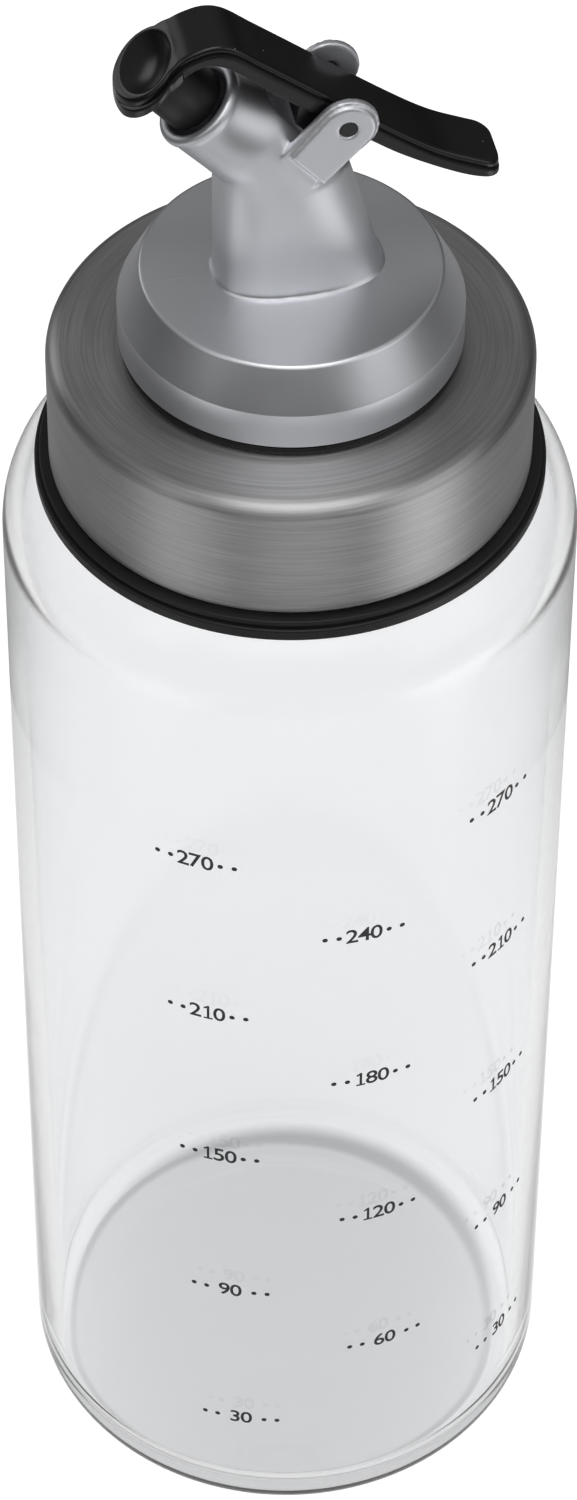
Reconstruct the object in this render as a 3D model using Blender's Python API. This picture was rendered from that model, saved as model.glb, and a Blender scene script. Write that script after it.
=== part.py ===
# Oil cruet: glass bottle, screw cap with a tilted pouring spout, and a lever that lifts a stopper.
# The bottle's axis is +Z, the spout points to -X, the lever's tail to +X, and the hinge runs along Y.
# Everything is in metres.
from math import acos, asin, atan2, ceil, copysign, cos, degrees, radians, sin, sqrt, tan, tau

import bmesh
import bpy
from mathutils import Matrix, Vector

GAP = 0.0003
RUNNING_GAP = 0.00005
TURN_STEPS = 64
SMALL_STEPS = 40

# Bottle
BOTTLE_R = 0.0300
WALL = 0.0020
FOOT_IN_R = 0.0238
HEEL_R = 0.0048
PUSH_UP = 0.0012
FLOOR_Z = 0.0034
INNER_HEEL_R = 0.0034
WALL_TOP_Z = 0.1364
SHOULDER_R = 0.0110
NECK_R = 0.0202
NECK_WALL = 0.0026
LIP_RISE = 0.0216
LIP_ROUND = 0.0008

# Threads: bottle neck to cap liner, and spout stem to nut
NECK_PITCH = 0.0040
NECK_TURNS = 1.5
NECK_THREAD_DROP = 0.0080
NECK_RIDGE = 0.0011
STEM_PITCH = 0.0020
STEM_RIDGE = 0.0006
THREAD_GAP = 0.0004

# Screw cap
LINER_WALL = 0.0023
LINER_TOP = 0.0013
LINER_LIFT = 0.0010
WASHER_T = 0.0009
SHEET = 0.0006
CAP_FILLET = 0.0019
GASKET_LEDGE = 0.0015
GASKET_W = 0.0024
GASKET_T = 0.0005

# Pourer
SEAT_T = 0.0008
DISC_R = 0.01755
DISC_TOP_R = 0.01545
DISC_SIDE_H = 0.0044
DISC_H = 0.0089
STEM_R = 0.0080
STEM_H = 0.0126
STEM_THREAD_UP = 0.0020
NUT_R = 0.0120
NUT_H = 0.0043
OIL_BORE_R = 0.00375
OIL_BORE_X = -0.0018
VENT_X = 0.0042
VENT_R = 0.0009
VENT_RISE = 0.0117
VENT_HOLE_R = 0.00055
VENT_SOCKET_H = 0.0050
VENT_TUBE_WALL = 0.0005
VENT_TUBE_H = 0.0250
COLUMN_LEFT = -0.0079
COLUMN_RIGHT = 0.0093
COLUMN_TOP_RIGHT = 0.0054
COLUMN_FRONT_H = 0.0112
COLUMN_BACK_H = 0.0139
FRONT_SQUARE = 3.4
BACK_SQUARE = 2.4

# Spout, set out from the middle of its mouth along an axis that leans back from the vertical
MOUTH_X = -0.0096
MOUTH_RISE = 0.02265
SPOUT_LEAN = radians(40)
MOUTH_R = 0.0036
LIP_EDGE = 0.00065
COLLAR_OUT = 0.0005
COLLAR_H = 0.0010
SPOUT_WALL = 0.00145
SPOUT_SHIFT = 0.0008
SPOUT_BEND = 0.0078

# Lever: sizes across it, its head over the mouth and its side outline as seen from the mouth
CROWN_HALF = 0.00335
SKIRT_OUT = 0.00035
CROWN_H = 0.00075
CROWN_ROUND = 0.0004
LEVER_WALL = 0.0009
HEAD_TILT = radians(40)
HEAD_RISE = 0.0075
HEAD_HALF = 0.00445
HEAD_REACH = 0.0040
HEAD_T = 0.0013
PAD_HALF = 0.0037
PAD_REACH = 0.00285
PAD_DEPTH = 0.0008
LUG_R = 0.0022
STUD_R = 0.0011
STUD_H = 0.0024
PLUG_CONE_H = 0.0019
PLUG_TIP_R = 0.0004
TAIL_ROUND = 0.0010
LEVER_TOP = ((-0.0023, 0.00785), (-0.0008, 0.00865), (0.0014, 0.00915), (0.0033, 0.0086),
             (0.0060, 0.00645), (0.0110, 0.0024), (0.0155, -0.0013), (0.0211, -0.0057),
             (0.0241, -0.00775), (0.0272, -0.0093), (0.0300, -0.01055))
LEVER_FOOT = ((-0.0023, 0.00495), (-0.0012, 0.00645), (0.0006, 0.00725), (0.0029, 0.00635),
              (0.0071, 0.00265), (0.0116, -0.00095), (0.0164, -0.00465), (0.0196, -0.00705),
              (0.0237, -0.00955), (0.0272, -0.01125), (0.0300, -0.0119))

# Hinge, out from the spout's axis and down from its mouth
HINGE_OUT = 0.00965
HINGE_DROP = 0.0104
EAR_GAP = 0.00035
EAR_T = 0.0008
PAD_T = 0.00045
EAR_R = 0.00315
PAD_R = 0.0027
EAR_FOOT_OUT = 0.0010
EAR_FOOT_UP = 0.0019
EAR_FOOT_DOWN = 0.0032
PAD_FOOT_OUT = 0.0036
PAD_FOOT_UP = 0.0016
PAD_FOOT_DOWN = 0.0035
PIN_R = 0.00085
PIN_INSET = 0.0004
POCKET_FLOOR = 0.00535
POCKET_START = 0.0085
POCKET_LEDGE = 0.00005

# Places that follow from the sizes
LIP_Z = WALL_TOP_Z + LIP_RISE
NECK_BORE_R = NECK_R - NECK_WALL
CEILING_Z = LIP_Z + GAP + WASHER_T + GAP
LINER_TOP_Z = CEILING_Z + LINER_TOP
CAP_TOP_Z = LINER_TOP_Z + GAP + SHEET
LINER_BORE_R = NECK_R + NECK_RIDGE + THREAD_GAP
LINER_R = LINER_BORE_R + LINER_WALL
CAP_IN_R = LINER_R + GAP
CAP_R = CAP_IN_R + SHEET
GASKET_R = CAP_R + GASKET_LEDGE
STEM_HOLE_R = STEM_R + STEM_RIDGE + GAP
SEAT_Z = CAP_TOP_Z + GAP
DISC_Z = SEAT_Z + SEAT_T + GAP
DISC_TOP_Z = DISC_Z + DISC_H
STEM_FOOT_Z = DISC_Z - STEM_H
SPOUT_R = OIL_BORE_R + SPOUT_WALL
PLUG_R = MOUTH_R - GAP
SKIRT_HALF = CROWN_HALF + SKIRT_OUT
EAR_IN = SKIRT_HALF + EAR_GAP
EAR_STEP = EAR_IN + EAR_T
EAR_OUT = EAR_STEP + PAD_T
PIN_END = EAR_OUT - PIN_INSET

MOUTH = Vector((MOUTH_X, 0.0, DISC_TOP_Z + MOUTH_RISE))
AXIS = Vector((-sin(SPOUT_LEAN), 0.0, cos(SPOUT_LEAN)))
ACROSS = Vector((cos(SPOUT_LEAN), 0.0, sin(SPOUT_LEAN)))
SPOUT_FRAME = (Matrix.Translation(MOUTH) @ Matrix.Rotation(-SPOUT_LEAN, 4, "Y"))
LEVER_FRAME = SPOUT_FRAME @ Matrix.Rotation(HEAD_TILT, 4, "Y")
PIVOT = MOUTH + ACROSS * HINGE_OUT - AXIS * HINGE_DROP


def clear_scene():
    for item in list(bpy.data.objects):
        bpy.data.objects.remove(item, do_unlink=True)


def material(name, color, metallic=0.0, roughness=0.5, alpha=1.0):
    made = bpy.data.materials.new(name)
    made.use_nodes = True
    shader = made.node_tree.nodes["Principled BSDF"]
    shader.inputs["Base Color"].default_value = (*color, 1.0)
    shader.inputs["Metallic"].default_value = metallic
    shader.inputs["Roughness"].default_value = roughness
    shader.inputs["Alpha"].default_value = alpha
    return made


def new_object(name, bm, look=None, sharp=22):
    bmesh.ops.recalc_face_normals(bm, faces=bm.faces[:])
    mesh = bpy.data.meshes.new(name)
    bm.to_mesh(mesh)
    bm.free()
    made = bpy.data.objects.new(name, mesh)
    bpy.context.scene.collection.objects.link(made)
    if look:
        mesh.materials.append(look)
    mesh.shade_smooth()
    mesh.set_sharp_from_angle(angle=radians(sharp))
    return made


def combine(target, other, operation):
    """Cut or join the other solid, which is used up."""
    step = target.modifiers.new(operation.lower(), "BOOLEAN")
    step.operation = operation
    step.solver = "EXACT"
    step.object = other
    bpy.context.view_layer.update()
    seen = target.evaluated_get(bpy.context.evaluated_depsgraph_get())
    mesh = bpy.data.meshes.new_from_object(seen)
    target.modifiers.clear()
    target.data = mesh
    bpy.data.objects.remove(other, do_unlink=True)
    mesh.set_sharp_from_angle(angle=radians(22))
    return target


def join(target, *others):
    for other in others:
        combine(target, other, "UNION")
    return target


def cut(target, *others):
    for other in others:
        combine(target, other, "DIFFERENCE")
    return target


def arc(centre_r, centre_z, radius, start, end, steps):
    """Points on an arc, with angles in degrees from +R towards +Z."""
    for i in range(steps + 1):
        angle = radians(start + (end - start) * i / steps)
        yield centre_r + radius * cos(angle), centre_z + radius * sin(angle)


def turned(name, outline, look=None, steps=TURN_STEPS, closed=True):
    """A solid of revolution about Z. An open outline starts and ends on the axis."""
    bm = bmesh.new()
    verts = [bm.verts.new((r, 0.0, z)) for r, z in outline]
    edges = [bm.edges.new(pair) for pair in zip(verts, verts[1:])]
    if closed:
        edges.append(bm.edges.new((verts[-1], verts[0])))
    bmesh.ops.spin(bm, geom=verts + edges, axis=(0, 0, 1), cent=(0, 0, 0),
                   angle=tau, steps=steps, use_merge=True)
    bmesh.ops.remove_doubles(bm, verts=bm.verts[:], dist=1e-7)
    return new_object(name, bm, look)


def loft(name, rings, look=None, frame=None):
    """A closed solid through rings that all have the same number of points."""
    bm = bmesh.new()
    loops = [[bm.verts.new(point) for point in ring] for ring in rings]
    for low, high in zip(loops, loops[1:]):
        for i in range(len(low)):
            j = (i + 1) % len(low)
            bm.faces.new((low[i], low[j], high[j], high[i]))
    bm.faces.new(loops[0])
    bm.faces.new(loops[-1])
    if frame:
        bm.transform(frame)
    return new_object(name, bm, look)


def circle(radius, z, shift=0.0, steps=SMALL_STEPS):
    turns = [tau * (i + 0.5) / steps for i in range(steps)]
    return [(shift + radius * cos(a), radius * sin(a), z) for a in turns]


def rod(name, radius, low, high, look=None, frame=None, steps=SMALL_STEPS):
    return loft(name, [circle(radius, low, steps=steps), circle(radius, high, steps=steps)],
                look, frame)


def along_y(x, z):
    """Frame that lays a rod made on Z along Y, through the given point."""
    return Matrix.Translation((x, 0.0, z)) @ Matrix.Rotation(radians(90), 4, "X")


def thread_ridge(name, root_r, height, pitch, turns, start_z, inward=False, steps=48):
    """A helical ridge that starts a little inside its wall and fades at both ends."""
    side = -1.0 if inward else 1.0
    base, tip, sunk = 0.23 * pitch, 0.11 * pitch, 0.0003
    count = int(steps * turns)
    rings = []
    for i in range(count + 1):
        angle = tau * turns * i / count
        z = start_z + pitch * angle / tau
        fade = min(1.0, 6 * i / count, 6 * (count - i) / count)
        crest = root_r + side * height * (0.1 + 0.9 * fade)
        foot = root_r - side * sunk
        section = ((foot, z - base), (crest, z - tip), (crest, z + tip), (foot, z + base))
        rings.append([(r * cos(angle), r * sin(angle), h) for r, h in section])
    return loft(name, rings)


def shoulder_z(r, offset=0.0):
    """Height of the glass shoulder, or of a surface lying off it, at a radius."""
    out = max(0.0, r - (BOTTLE_R - SHOULDER_R))
    return WALL_TOP_Z + sqrt((SHOULDER_R + offset) ** 2 - out ** 2)


def gasket_top_z():
    return shoulder_z(GASKET_R - GASKET_W, GAP) + GASKET_T


def glass_bottle(look):
    centre_r = BOTTLE_R - SHOULDER_R
    root_r = NECK_R + 0.0010
    turn = 90 - degrees(asin(max(0.0, root_r - centre_r) / SHOULDER_R))
    outer = [(0.0, PUSH_UP), (0.5 * FOOT_IN_R, 0.85 * PUSH_UP), (FOOT_IN_R - 0.0012, 0.0006),
             (FOOT_IN_R, 0.0)]
    outer += arc(BOTTLE_R - HEEL_R, HEEL_R, HEEL_R, -90, 0, 6)
    outer += arc(centre_r, WALL_TOP_Z, SHOULDER_R, 0, turn, 12)
    outer += [(NECK_R + 0.0003, shoulder_z(root_r) + 0.0004), (NECK_R, shoulder_z(root_r) + 0.0012)]
    outer += arc(NECK_R - LIP_ROUND, LIP_Z - LIP_ROUND, LIP_ROUND, 0, 90, 4)
    inner_r = BOTTLE_R - WALL
    bend = SHOULDER_R - WALL
    dome_r = max(centre_r, NECK_BORE_R + 0.0006)
    dome_turn = degrees(acos((dome_r - centre_r) / bend))
    dome_z = WALL_TOP_Z + bend * sin(radians(dome_turn))
    inner = list(arc(NECK_BORE_R + LIP_ROUND, LIP_Z - LIP_ROUND, LIP_ROUND, 90, 180, 4))
    inner += [(NECK_BORE_R, dome_z + 0.0010), (NECK_BORE_R + 0.0004, dome_z + 0.0002)]
    inner += arc(centre_r, WALL_TOP_Z, bend, dome_turn, 0, 10)
    inner += arc(inner_r - INNER_HEEL_R, FLOOR_Z + INNER_HEEL_R, INNER_HEEL_R, 0, -90, 5)
    inner += [(0.0, FLOOR_Z)]
    bottle = turned("glass_bottle", outer + inner, look, closed=False)
    ridge = thread_ridge("neck_thread", NECK_R, NECK_RIDGE, NECK_PITCH, NECK_TURNS,
                         LIP_Z - NECK_THREAD_DROP)
    return join(bottle, ridge)


def shoulder_gasket(look):
    under = [GASKET_R - GASKET_W * (1 - i / 5) for i in range(6)]
    outline = [(r, shoulder_z(r, GAP)) for r in under]
    outline += arc(GASKET_R - 0.0003, gasket_top_z() - 0.0003, 0.0003, 0, 90, 3)
    outline += [(GASKET_R - GASKET_W, gasket_top_z())]
    return turned("shoulder_gasket", outline, look)


def cap_shell(look):
    foot_z = gasket_top_z() + GAP
    outline = [(CAP_IN_R, foot_z + 0.0002), (CAP_IN_R + 0.0002, foot_z), (CAP_R - 0.0002, foot_z),
               (CAP_R, foot_z + 0.0002)]
    outline += arc(CAP_R - CAP_FILLET, CAP_TOP_Z - CAP_FILLET, CAP_FILLET, 0, 90, 6)
    outline += [(STEM_HOLE_R, CAP_TOP_Z), (STEM_HOLE_R, CAP_TOP_Z - SHEET)]
    bend = CAP_FILLET - SHEET
    outline += arc(CAP_R - CAP_FILLET, CAP_TOP_Z - CAP_FILLET, bend, 90, 0, 4)
    return turned("cap_shell", outline, look)


def cap_liner(look):
    edge = CAP_FILLET - SHEET
    foot_z = gasket_top_z() + LINER_LIFT
    outline = [(LINER_BORE_R, foot_z), (LINER_R, foot_z),
               (LINER_R, LINER_TOP_Z - edge), (LINER_R - edge, LINER_TOP_Z),
               (STEM_HOLE_R, LINER_TOP_Z), (STEM_HOLE_R, CEILING_Z), (LINER_BORE_R, CEILING_Z)]
    liner = turned("cap_liner", outline, look)
    ridge = thread_ridge("liner_thread", LINER_BORE_R, NECK_RIDGE, NECK_PITCH, NECK_TURNS,
                         LIP_Z - NECK_THREAD_DROP - 0.45 * NECK_PITCH, inward=True)
    return join(liner, ridge)


def lip_washer(look):
    inner_r, outer_r = NECK_BORE_R + 0.0001, LINER_BORE_R - GAP
    low = LIP_Z + GAP
    outline = [(inner_r, low), (outer_r, low), (outer_r, low + WASHER_T), (inner_r, low + WASHER_T)]
    return turned("lip_washer", outline, look)


def pourer_gasket(look):
    outline = [(STEM_HOLE_R, SEAT_Z), (DISC_R - 0.0002, SEAT_Z),
               (DISC_R - 0.0002, SEAT_Z + SEAT_T), (STEM_HOLE_R, SEAT_Z + SEAT_T)]
    return turned("pourer_gasket", outline, look)


def skin_ring(front, back, half, front_square, back_square, steps=48):
    """Section of the spout's skin between two points of its middle plane. 2 is round, more is boxier."""
    middle, reach = (front + back) / 2, (back - front) / 2
    ring = []
    for i in range(steps):
        c, s = cos(tau * (i + 0.5) / steps), sin(tau * (i + 0.5) / steps)
        power = 2 / (back_square if c > 0 else front_square)
        point = middle + reach * copysign(abs(c) ** power, c)
        ring.append((point.x, half * copysign(abs(s) ** power, s), point.z))
    return ring


def column_sections():
    """Upright foot of the skin: its sections tip forwards as they rise."""
    low_z = DISC_TOP_Z - 0.0010
    yield Vector((COLUMN_LEFT, 0, low_z)), Vector((COLUMN_RIGHT, 0, low_z)), FRONT_SQUARE, BACK_SQUARE
    for share in (0.03, 0.35, 0.7, 1.0):
        right = COLUMN_RIGHT + (COLUMN_TOP_RIGHT - COLUMN_RIGHT) * share
        front = Vector((COLUMN_LEFT, 0, DISC_TOP_Z + COLUMN_FRONT_H * share))
        yield (front, Vector((right, 0, DISC_TOP_Z + COLUMN_BACK_H * share)),
               FRONT_SQUARE - 0.6 * share, BACK_SQUARE - 0.2 * share)


def spout_skin():
    """Column, bend and spout as one smooth skin, closed inside the disc and at the lip."""
    columns = list(column_sections())
    half = SPOUT_R
    rings = [skin_ring(front, back, half, a, b) for front, back, a, b in columns]
    front, back, front_square, back_square = columns[-1]
    start = -SPOUT_BEND
    end_front = SPOUT_FRAME @ Vector((SPOUT_SHIFT - SPOUT_R, 0, start))
    end_back = SPOUT_FRAME @ Vector((SPOUT_SHIFT + SPOUT_R, 0, start))
    climb = (end_front.x - front.x) / tan(SPOUT_LEAN)
    corner = Vector((front.x, 0, end_front.z + climb))
    for share in (0.2, 0.4, 0.6, 0.8):
        rest = 1 - share
        low = front * rest ** 2 + corner * 2 * share * rest + end_front * share ** 2
        high = back * rest + end_back * share
        rings.append(skin_ring(low, high, half, front_square * rest + 2 * share,
                               back_square * rest + 2 * share))
    lip_r = MOUTH_R + LIP_EDGE
    collar_r = lip_r + COLLAR_OUT
    neck_r = collar_r - 0.0002
    swell, shift = SPOUT_R - neck_r, SPOUT_SHIFT
    stations = ((start, shift, SPOUT_R), (-0.0065, shift, SPOUT_R),
                (-0.0052, 0.9 * shift, SPOUT_R - 0.1 * swell),
                (-0.0036, 0.6 * shift, SPOUT_R - 0.4 * swell),
                (-0.0022, 0.2 * shift, SPOUT_R - 0.8 * swell), (-COLLAR_H, 0.0, neck_r),
                (-0.9 * COLLAR_H, 0.0, collar_r), (-0.4 * COLLAR_H, 0.0, collar_r),
                (-0.1 * COLLAR_H, 0.0, lip_r + 0.6 * COLLAR_OUT), (0.0, 0.0, lip_r))
    for height, off, radius in stations:
        ring = circle(radius, height, off, steps=48)
        rings.append([SPOUT_FRAME @ Vector(point) for point in ring])
    return loft("skin", rings)


def ear_outline(radius, down, up, foot_rise, steps=14):
    """Side outline of an ear in the spout's (rise, height) axes: a foot and a round end."""
    pivot_rise, pivot_height = HINGE_OUT, -HINGE_DROP
    points = []
    for height, sign in ((pivot_height + up, 1), (pivot_height - down, -1)):
        away = Vector((foot_rise - pivot_rise, height - pivot_height))
        bearing = Vector((1, 0)).angle_signed(away) * -1
        swing = acos(radius / away.length)
        points.append(((foot_rise, height), bearing - sign * swing))
    (high_foot, start), (low_foot, end) = points
    if end > start:
        end -= tau
    outline = [high_foot]
    for i in range(steps + 1):
        angle = start + (end - start) * i / steps
        outline.append((pivot_rise + radius * cos(angle), pivot_height + radius * sin(angle)))
    outline.append(low_foot)
    return outline


def ear_plate(name, outline, side, inner, outer):
    rings = [[(rise, side * y, height) for rise, height in outline] for y in (inner, outer)]
    return loft(name, rings, frame=SPOUT_FRAME)


def clevis_ears():
    plate = ear_outline(EAR_R, EAR_FOOT_DOWN, EAR_FOOT_UP, EAR_FOOT_OUT)
    pad = ear_outline(PAD_R, PAD_FOOT_DOWN, PAD_FOOT_UP, PAD_FOOT_OUT)
    for side in (-1, 1):
        yield ear_plate("ear", plate, side, EAR_IN, EAR_STEP)
        yield ear_plate("pad", pad, side, EAR_STEP - 0.0001, EAR_OUT)


def pocket_cutter():
    """Round-ended slot between the ears, open to the back."""
    half = EAR_IN - POCKET_LEDGE
    outline = list(arc(0.0, -POCKET_START, half, 0, 180, 16))
    outline += [(-half, -0.0300), (half, -0.0300)]
    rings = [[(rise, y, s) for y, s in outline] for rise in (POCKET_FLOOR, 0.0080)]
    return loft("pocket", rings, frame=SPOUT_FRAME)


def oil_channel_cutter():
    """One bore: up the stem, round a mitred bend and out along the spout to its mouth."""
    drop = (OIL_BORE_X - MOUTH_X) / sin(SPOUT_LEAN)
    bend = MOUTH - AXIS * drop
    slope = sin(SPOUT_LEAN) / (1 + cos(SPOUT_LEAN))
    low = STEM_FOOT_Z - 0.0010
    rings = [[(x, y, low) for x, y, _ in circle(OIL_BORE_R, low, OIL_BORE_X)]]
    rings.append([(OIL_BORE_X + x, y, bend.z + slope * x) for x, y, _ in circle(OIL_BORE_R, 0.0)])
    mouth = ((OIL_BORE_R, -0.0008), (MOUTH_R, -0.0004), (MOUTH_R, 0.0), (MOUTH_R + 0.0004, 0.0010))
    rings += [[SPOUT_FRAME @ Vector(point) for point in circle(r, s)] for r, s in mouth]
    return loft("oil_channel", rings)


def vent_cutters():
    """Bore up the column with a wider socket for the tube, and a hole out through the back."""
    vent_z = DISC_TOP_Z + VENT_RISE
    socket_r = VENT_R + VENT_TUBE_WALL
    step = STEM_FOOT_Z + VENT_SOCKET_H
    bore = ((socket_r, STEM_FOOT_Z - 0.0010), (socket_r, step), (VENT_R, step + 0.0002),
            (VENT_R, vent_z + 0.0007))
    yield loft("vent", [circle(r, z, VENT_X, steps=16) for r, z in bore])
    out = Matrix.Translation((0, 0, vent_z)) @ Matrix.Rotation(radians(90), 4, "Y")
    yield rod("vent_hole", VENT_HOLE_R, VENT_X, COLUMN_RIGHT, frame=out, steps=12)


def pourer_body(look):
    outline = [(0.0, STEM_FOOT_Z), (STEM_R - 0.0005, STEM_FOOT_Z), (STEM_R, STEM_FOOT_Z + 0.0005),
               (STEM_R, DISC_Z), (DISC_R - 0.0003, DISC_Z), (DISC_R, DISC_Z + 0.0003),
               (DISC_R, DISC_Z + DISC_SIDE_H)]
    outline += arc(DISC_TOP_R - 0.0004, DISC_TOP_Z - 0.0004, 0.0004, 20, 90, 3)
    outline += [(0.0, DISC_TOP_Z)]
    body = turned("pourer_body", outline, look, closed=False)
    join(body, spout_skin(), *clevis_ears())
    cut(body, pocket_cutter(), oil_channel_cutter(), *vent_cutters())
    cut(body, rod("pin_hole", PIN_R + RUNNING_GAP, -0.0080, 0.0080, frame=along_y(PIVOT.x, PIVOT.z)))
    return join(body, thread_ridge("stem_thread", STEM_R, STEM_RIDGE, STEM_PITCH, 3.0,
                                   STEM_FOOT_Z + STEM_THREAD_UP, steps=40))


def stem_nut(look):
    top = CEILING_Z - GAP
    bore_r = STEM_R + STEM_RIDGE + THREAD_GAP
    grips = 12
    rings = []
    for z, drawn in ((top - NUT_H, 0.0003), (top - NUT_H + 0.0003, 0.0), (top - 0.0003, 0.0), (top, 0.0003)):
        ring = []
        for i in range(grips * 6):
            angle = tau * i / (grips * 6)
            radius = NUT_R - drawn - 0.0003 * (1 - cos(grips * angle))
            ring.append((radius * cos(angle), radius * sin(angle), z))
        rings.append(ring)
    nut = loft("stem_nut", rings, look)
    cut(nut, rod("nut_bore", bore_r, top - NUT_H - 0.0010, top + 0.0010, steps=48))
    first = STEM_FOOT_Z + STEM_THREAD_UP
    turns_up = ceil((top - NUT_H - first) / STEM_PITCH - 0.25)
    start = first + (turns_up + 0.5) * STEM_PITCH
    return join(nut, thread_ridge("nut_thread", bore_r, STEM_RIDGE, STEM_PITCH, 1.0, start,
                                  inward=True, steps=40))


def vent_tube(look):
    outer_r = VENT_R + VENT_TUBE_WALL - RUNNING_GAP
    bore_r = outer_r - VENT_TUBE_WALL
    high = STEM_FOOT_Z + VENT_SOCKET_H - GAP
    low = high - VENT_TUBE_H
    outline = [(bore_r, low), (outer_r, low), (outer_r, high), (bore_r, high)]
    tube = turned("vent_tube", outline, look, steps=24)
    tube.location.x = VENT_X
    return tube


def smooth_height(x, points):
    """Height of a smooth curve through points sorted by x."""
    last = len(points) - 1
    k = max(i for i in range(last) if points[i][0] <= x or i == 0)
    p0, p1, p2, p3 = (points[min(max(j, 0), last)] for j in (k - 1, k, k + 1, k + 2))
    t = (x - p1[0]) / (p2[0] - p1[0])
    m1 = (p2[1] - p0[1]) / (p2[0] - p0[0]) * (p2[0] - p1[0])
    m2 = (p3[1] - p1[1]) / (p3[0] - p1[0]) * (p2[0] - p1[0])
    return ((2 * t ** 3 - 3 * t ** 2 + 1) * p1[1] + (t ** 3 - 2 * t ** 2 + t) * m1
            + (3 * t ** 2 - 2 * t ** 3) * p2[1] + (t ** 3 - t ** 2) * m2)


HEAD_X, HEAD_Z = -HEAD_RISE * sin(HEAD_TILT), HEAD_RISE * cos(HEAD_TILT)
HEAD_HALF_X = HEAD_REACH * cos(HEAD_TILT)
HEAD_DROP = HEAD_T / cos(HEAD_TILT)
NECK_X = HEAD_X + 0.55 * HEAD_HALF_X
TAIL_X = LEVER_TOP[-1][0]


def head_top(x):
    return HEAD_Z + (x - HEAD_X) * sin(HEAD_TILT) / cos(HEAD_TILT)


def lever_top(x):
    return smooth_height(x, LEVER_TOP) if x > LEVER_TOP[0][0] else head_top(x)


def lever_foot(x):
    """Underside height: the head's plate runs into the arm's skirt."""
    start, foot = LEVER_FOOT[0]
    if x >= start:
        return smooth_height(x, LEVER_FOOT)
    share = max(0.0, 1 - (start - x) / 0.0015)
    return head_top(x) - HEAD_DROP + share * (foot - head_top(start) + HEAD_DROP)


def lever_half(x):
    """Half width of the crown: an oval head, a straight arm and a rounded tail."""
    if x < NECK_X:
        return HEAD_HALF * sqrt(max(0.0, 1 - ((x - HEAD_X) / HEAD_HALF_X) ** 2))
    neck_half = HEAD_HALF * sqrt(1 - 0.55 ** 2)
    half = neck_half + (CROWN_HALF - neck_half) * min(1.0, (x - NECK_X) / 0.0016)
    into = max(0.0, x - (TAIL_X - TAIL_ROUND))
    return half - TAIL_ROUND + sqrt(max(0.0, TAIL_ROUND ** 2 - into ** 2))


def lever_stations():
    head = [HEAD_X - HEAD_HALF_X * cos(radians(a)) for a in (8, 16, 26, 38, 52, 68, 84, 100, 112, 123)]
    straight = TAIL_X - TAIL_ROUND
    arm = [head[-1] + (straight - head[-1]) * i / 26 for i in range(1, 27)]
    tail = [TAIL_X - TAIL_ROUND * (1 - sin(radians(a))) for a in (25, 50, 75)]
    return head + arm + tail


def lever_ring(x):
    half, top, foot = lever_half(x), lever_top(x), lever_foot(x)
    skirt = half + SKIRT_OUT * min(1.0, half / 0.002)
    if x < HEAD_X + HEAD_HALF_X:
        skirt += 0.0003 * min(1.0, half / 0.002)
    step = top - CROWN_H
    bend = min(CROWN_ROUND, 0.5 * half)
    side = [(skirt, foot), (skirt, step - 0.0001), (skirt - 0.0001, step), (half, step)]
    side += [(half - bend + bend * cos(radians(a)), top - bend + bend * sin(radians(a)))
             for a in (0, 30, 60, 90)]
    right = [(x, y, z) for y, z in side]
    left = [(x, -y, z) for y, z in reversed(side)]
    return right + left


def lever_channel():
    """Hollow underside of the arm, closed at both ends."""
    low, high = LEVER_FOOT[2][0] - 0.0005, TAIL_X - 1.4 * LEVER_WALL
    half = SKIRT_HALF - LEVER_WALL
    rings = []
    for i in range(24):
        x = low + (high - low) * i / 23
        roof, foot = lever_top(x) - LEVER_WALL - 0.0001, lever_foot(x) - 0.0010
        rings.append([(x, -half, foot), (x, half, foot), (x, half, roof), (x, -half, roof)])
    return loft("channel", rings, frame=LEVER_FRAME)


def finger_pad_cutter():
    bend = (PAD_REACH ** 2 + PAD_DEPTH ** 2) / (2 * PAD_DEPTH)
    bm = bmesh.new()
    stretch = Matrix.Diagonal((1.0, PAD_HALF / PAD_REACH, 1.0, 1.0))
    place = SPOUT_FRAME @ Matrix.Translation((0, 0, HEAD_RISE + bend - PAD_DEPTH)) @ stretch
    bmesh.ops.create_uvsphere(bm, u_segments=48, v_segments=32, radius=bend)
    bm.transform(place)
    return new_object("finger_pad", bm)


def lever_lug():
    """Block round the pin, under the arm's roof."""
    pivot = LEVER_FRAME.inverted() @ PIVOT
    slope = atan2(lever_top(pivot.x + 0.001) - lever_top(pivot.x - 0.001), 0.002)
    place = LEVER_FRAME @ Matrix.Translation(pivot) @ Matrix.Rotation(-slope, 4, "Y")
    outline = list(arc(0.0, 0.0, LUG_R, -194, 14, 12))
    rings = [[(x, y, z) for x, z in outline] for y in (0.0001 - SKIRT_HALF, SKIRT_HALF - 0.0001)]
    return loft("lug", rings, frame=place)


def lever(look):
    arm = loft("lever", [lever_ring(x) for x in lever_stations()], look, LEVER_FRAME)
    under = HEAD_RISE - HEAD_T
    room = rod("stopper_room", PLUG_R + GAP, 0.0, under, frame=SPOUT_FRAME)
    cut(arm, lever_channel(), room, finger_pad_cutter())
    stud = rod("stud", STUD_R, under - STUD_H, under + 0.0004, frame=SPOUT_FRAME, steps=24)
    join(arm, lever_lug(), stud)
    bore = rod("lever_bore", PIN_R + RUNNING_GAP, -0.0080, 0.0080, frame=along_y(PIVOT.x, PIVOT.z))
    return cut(arm, bore)


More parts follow.
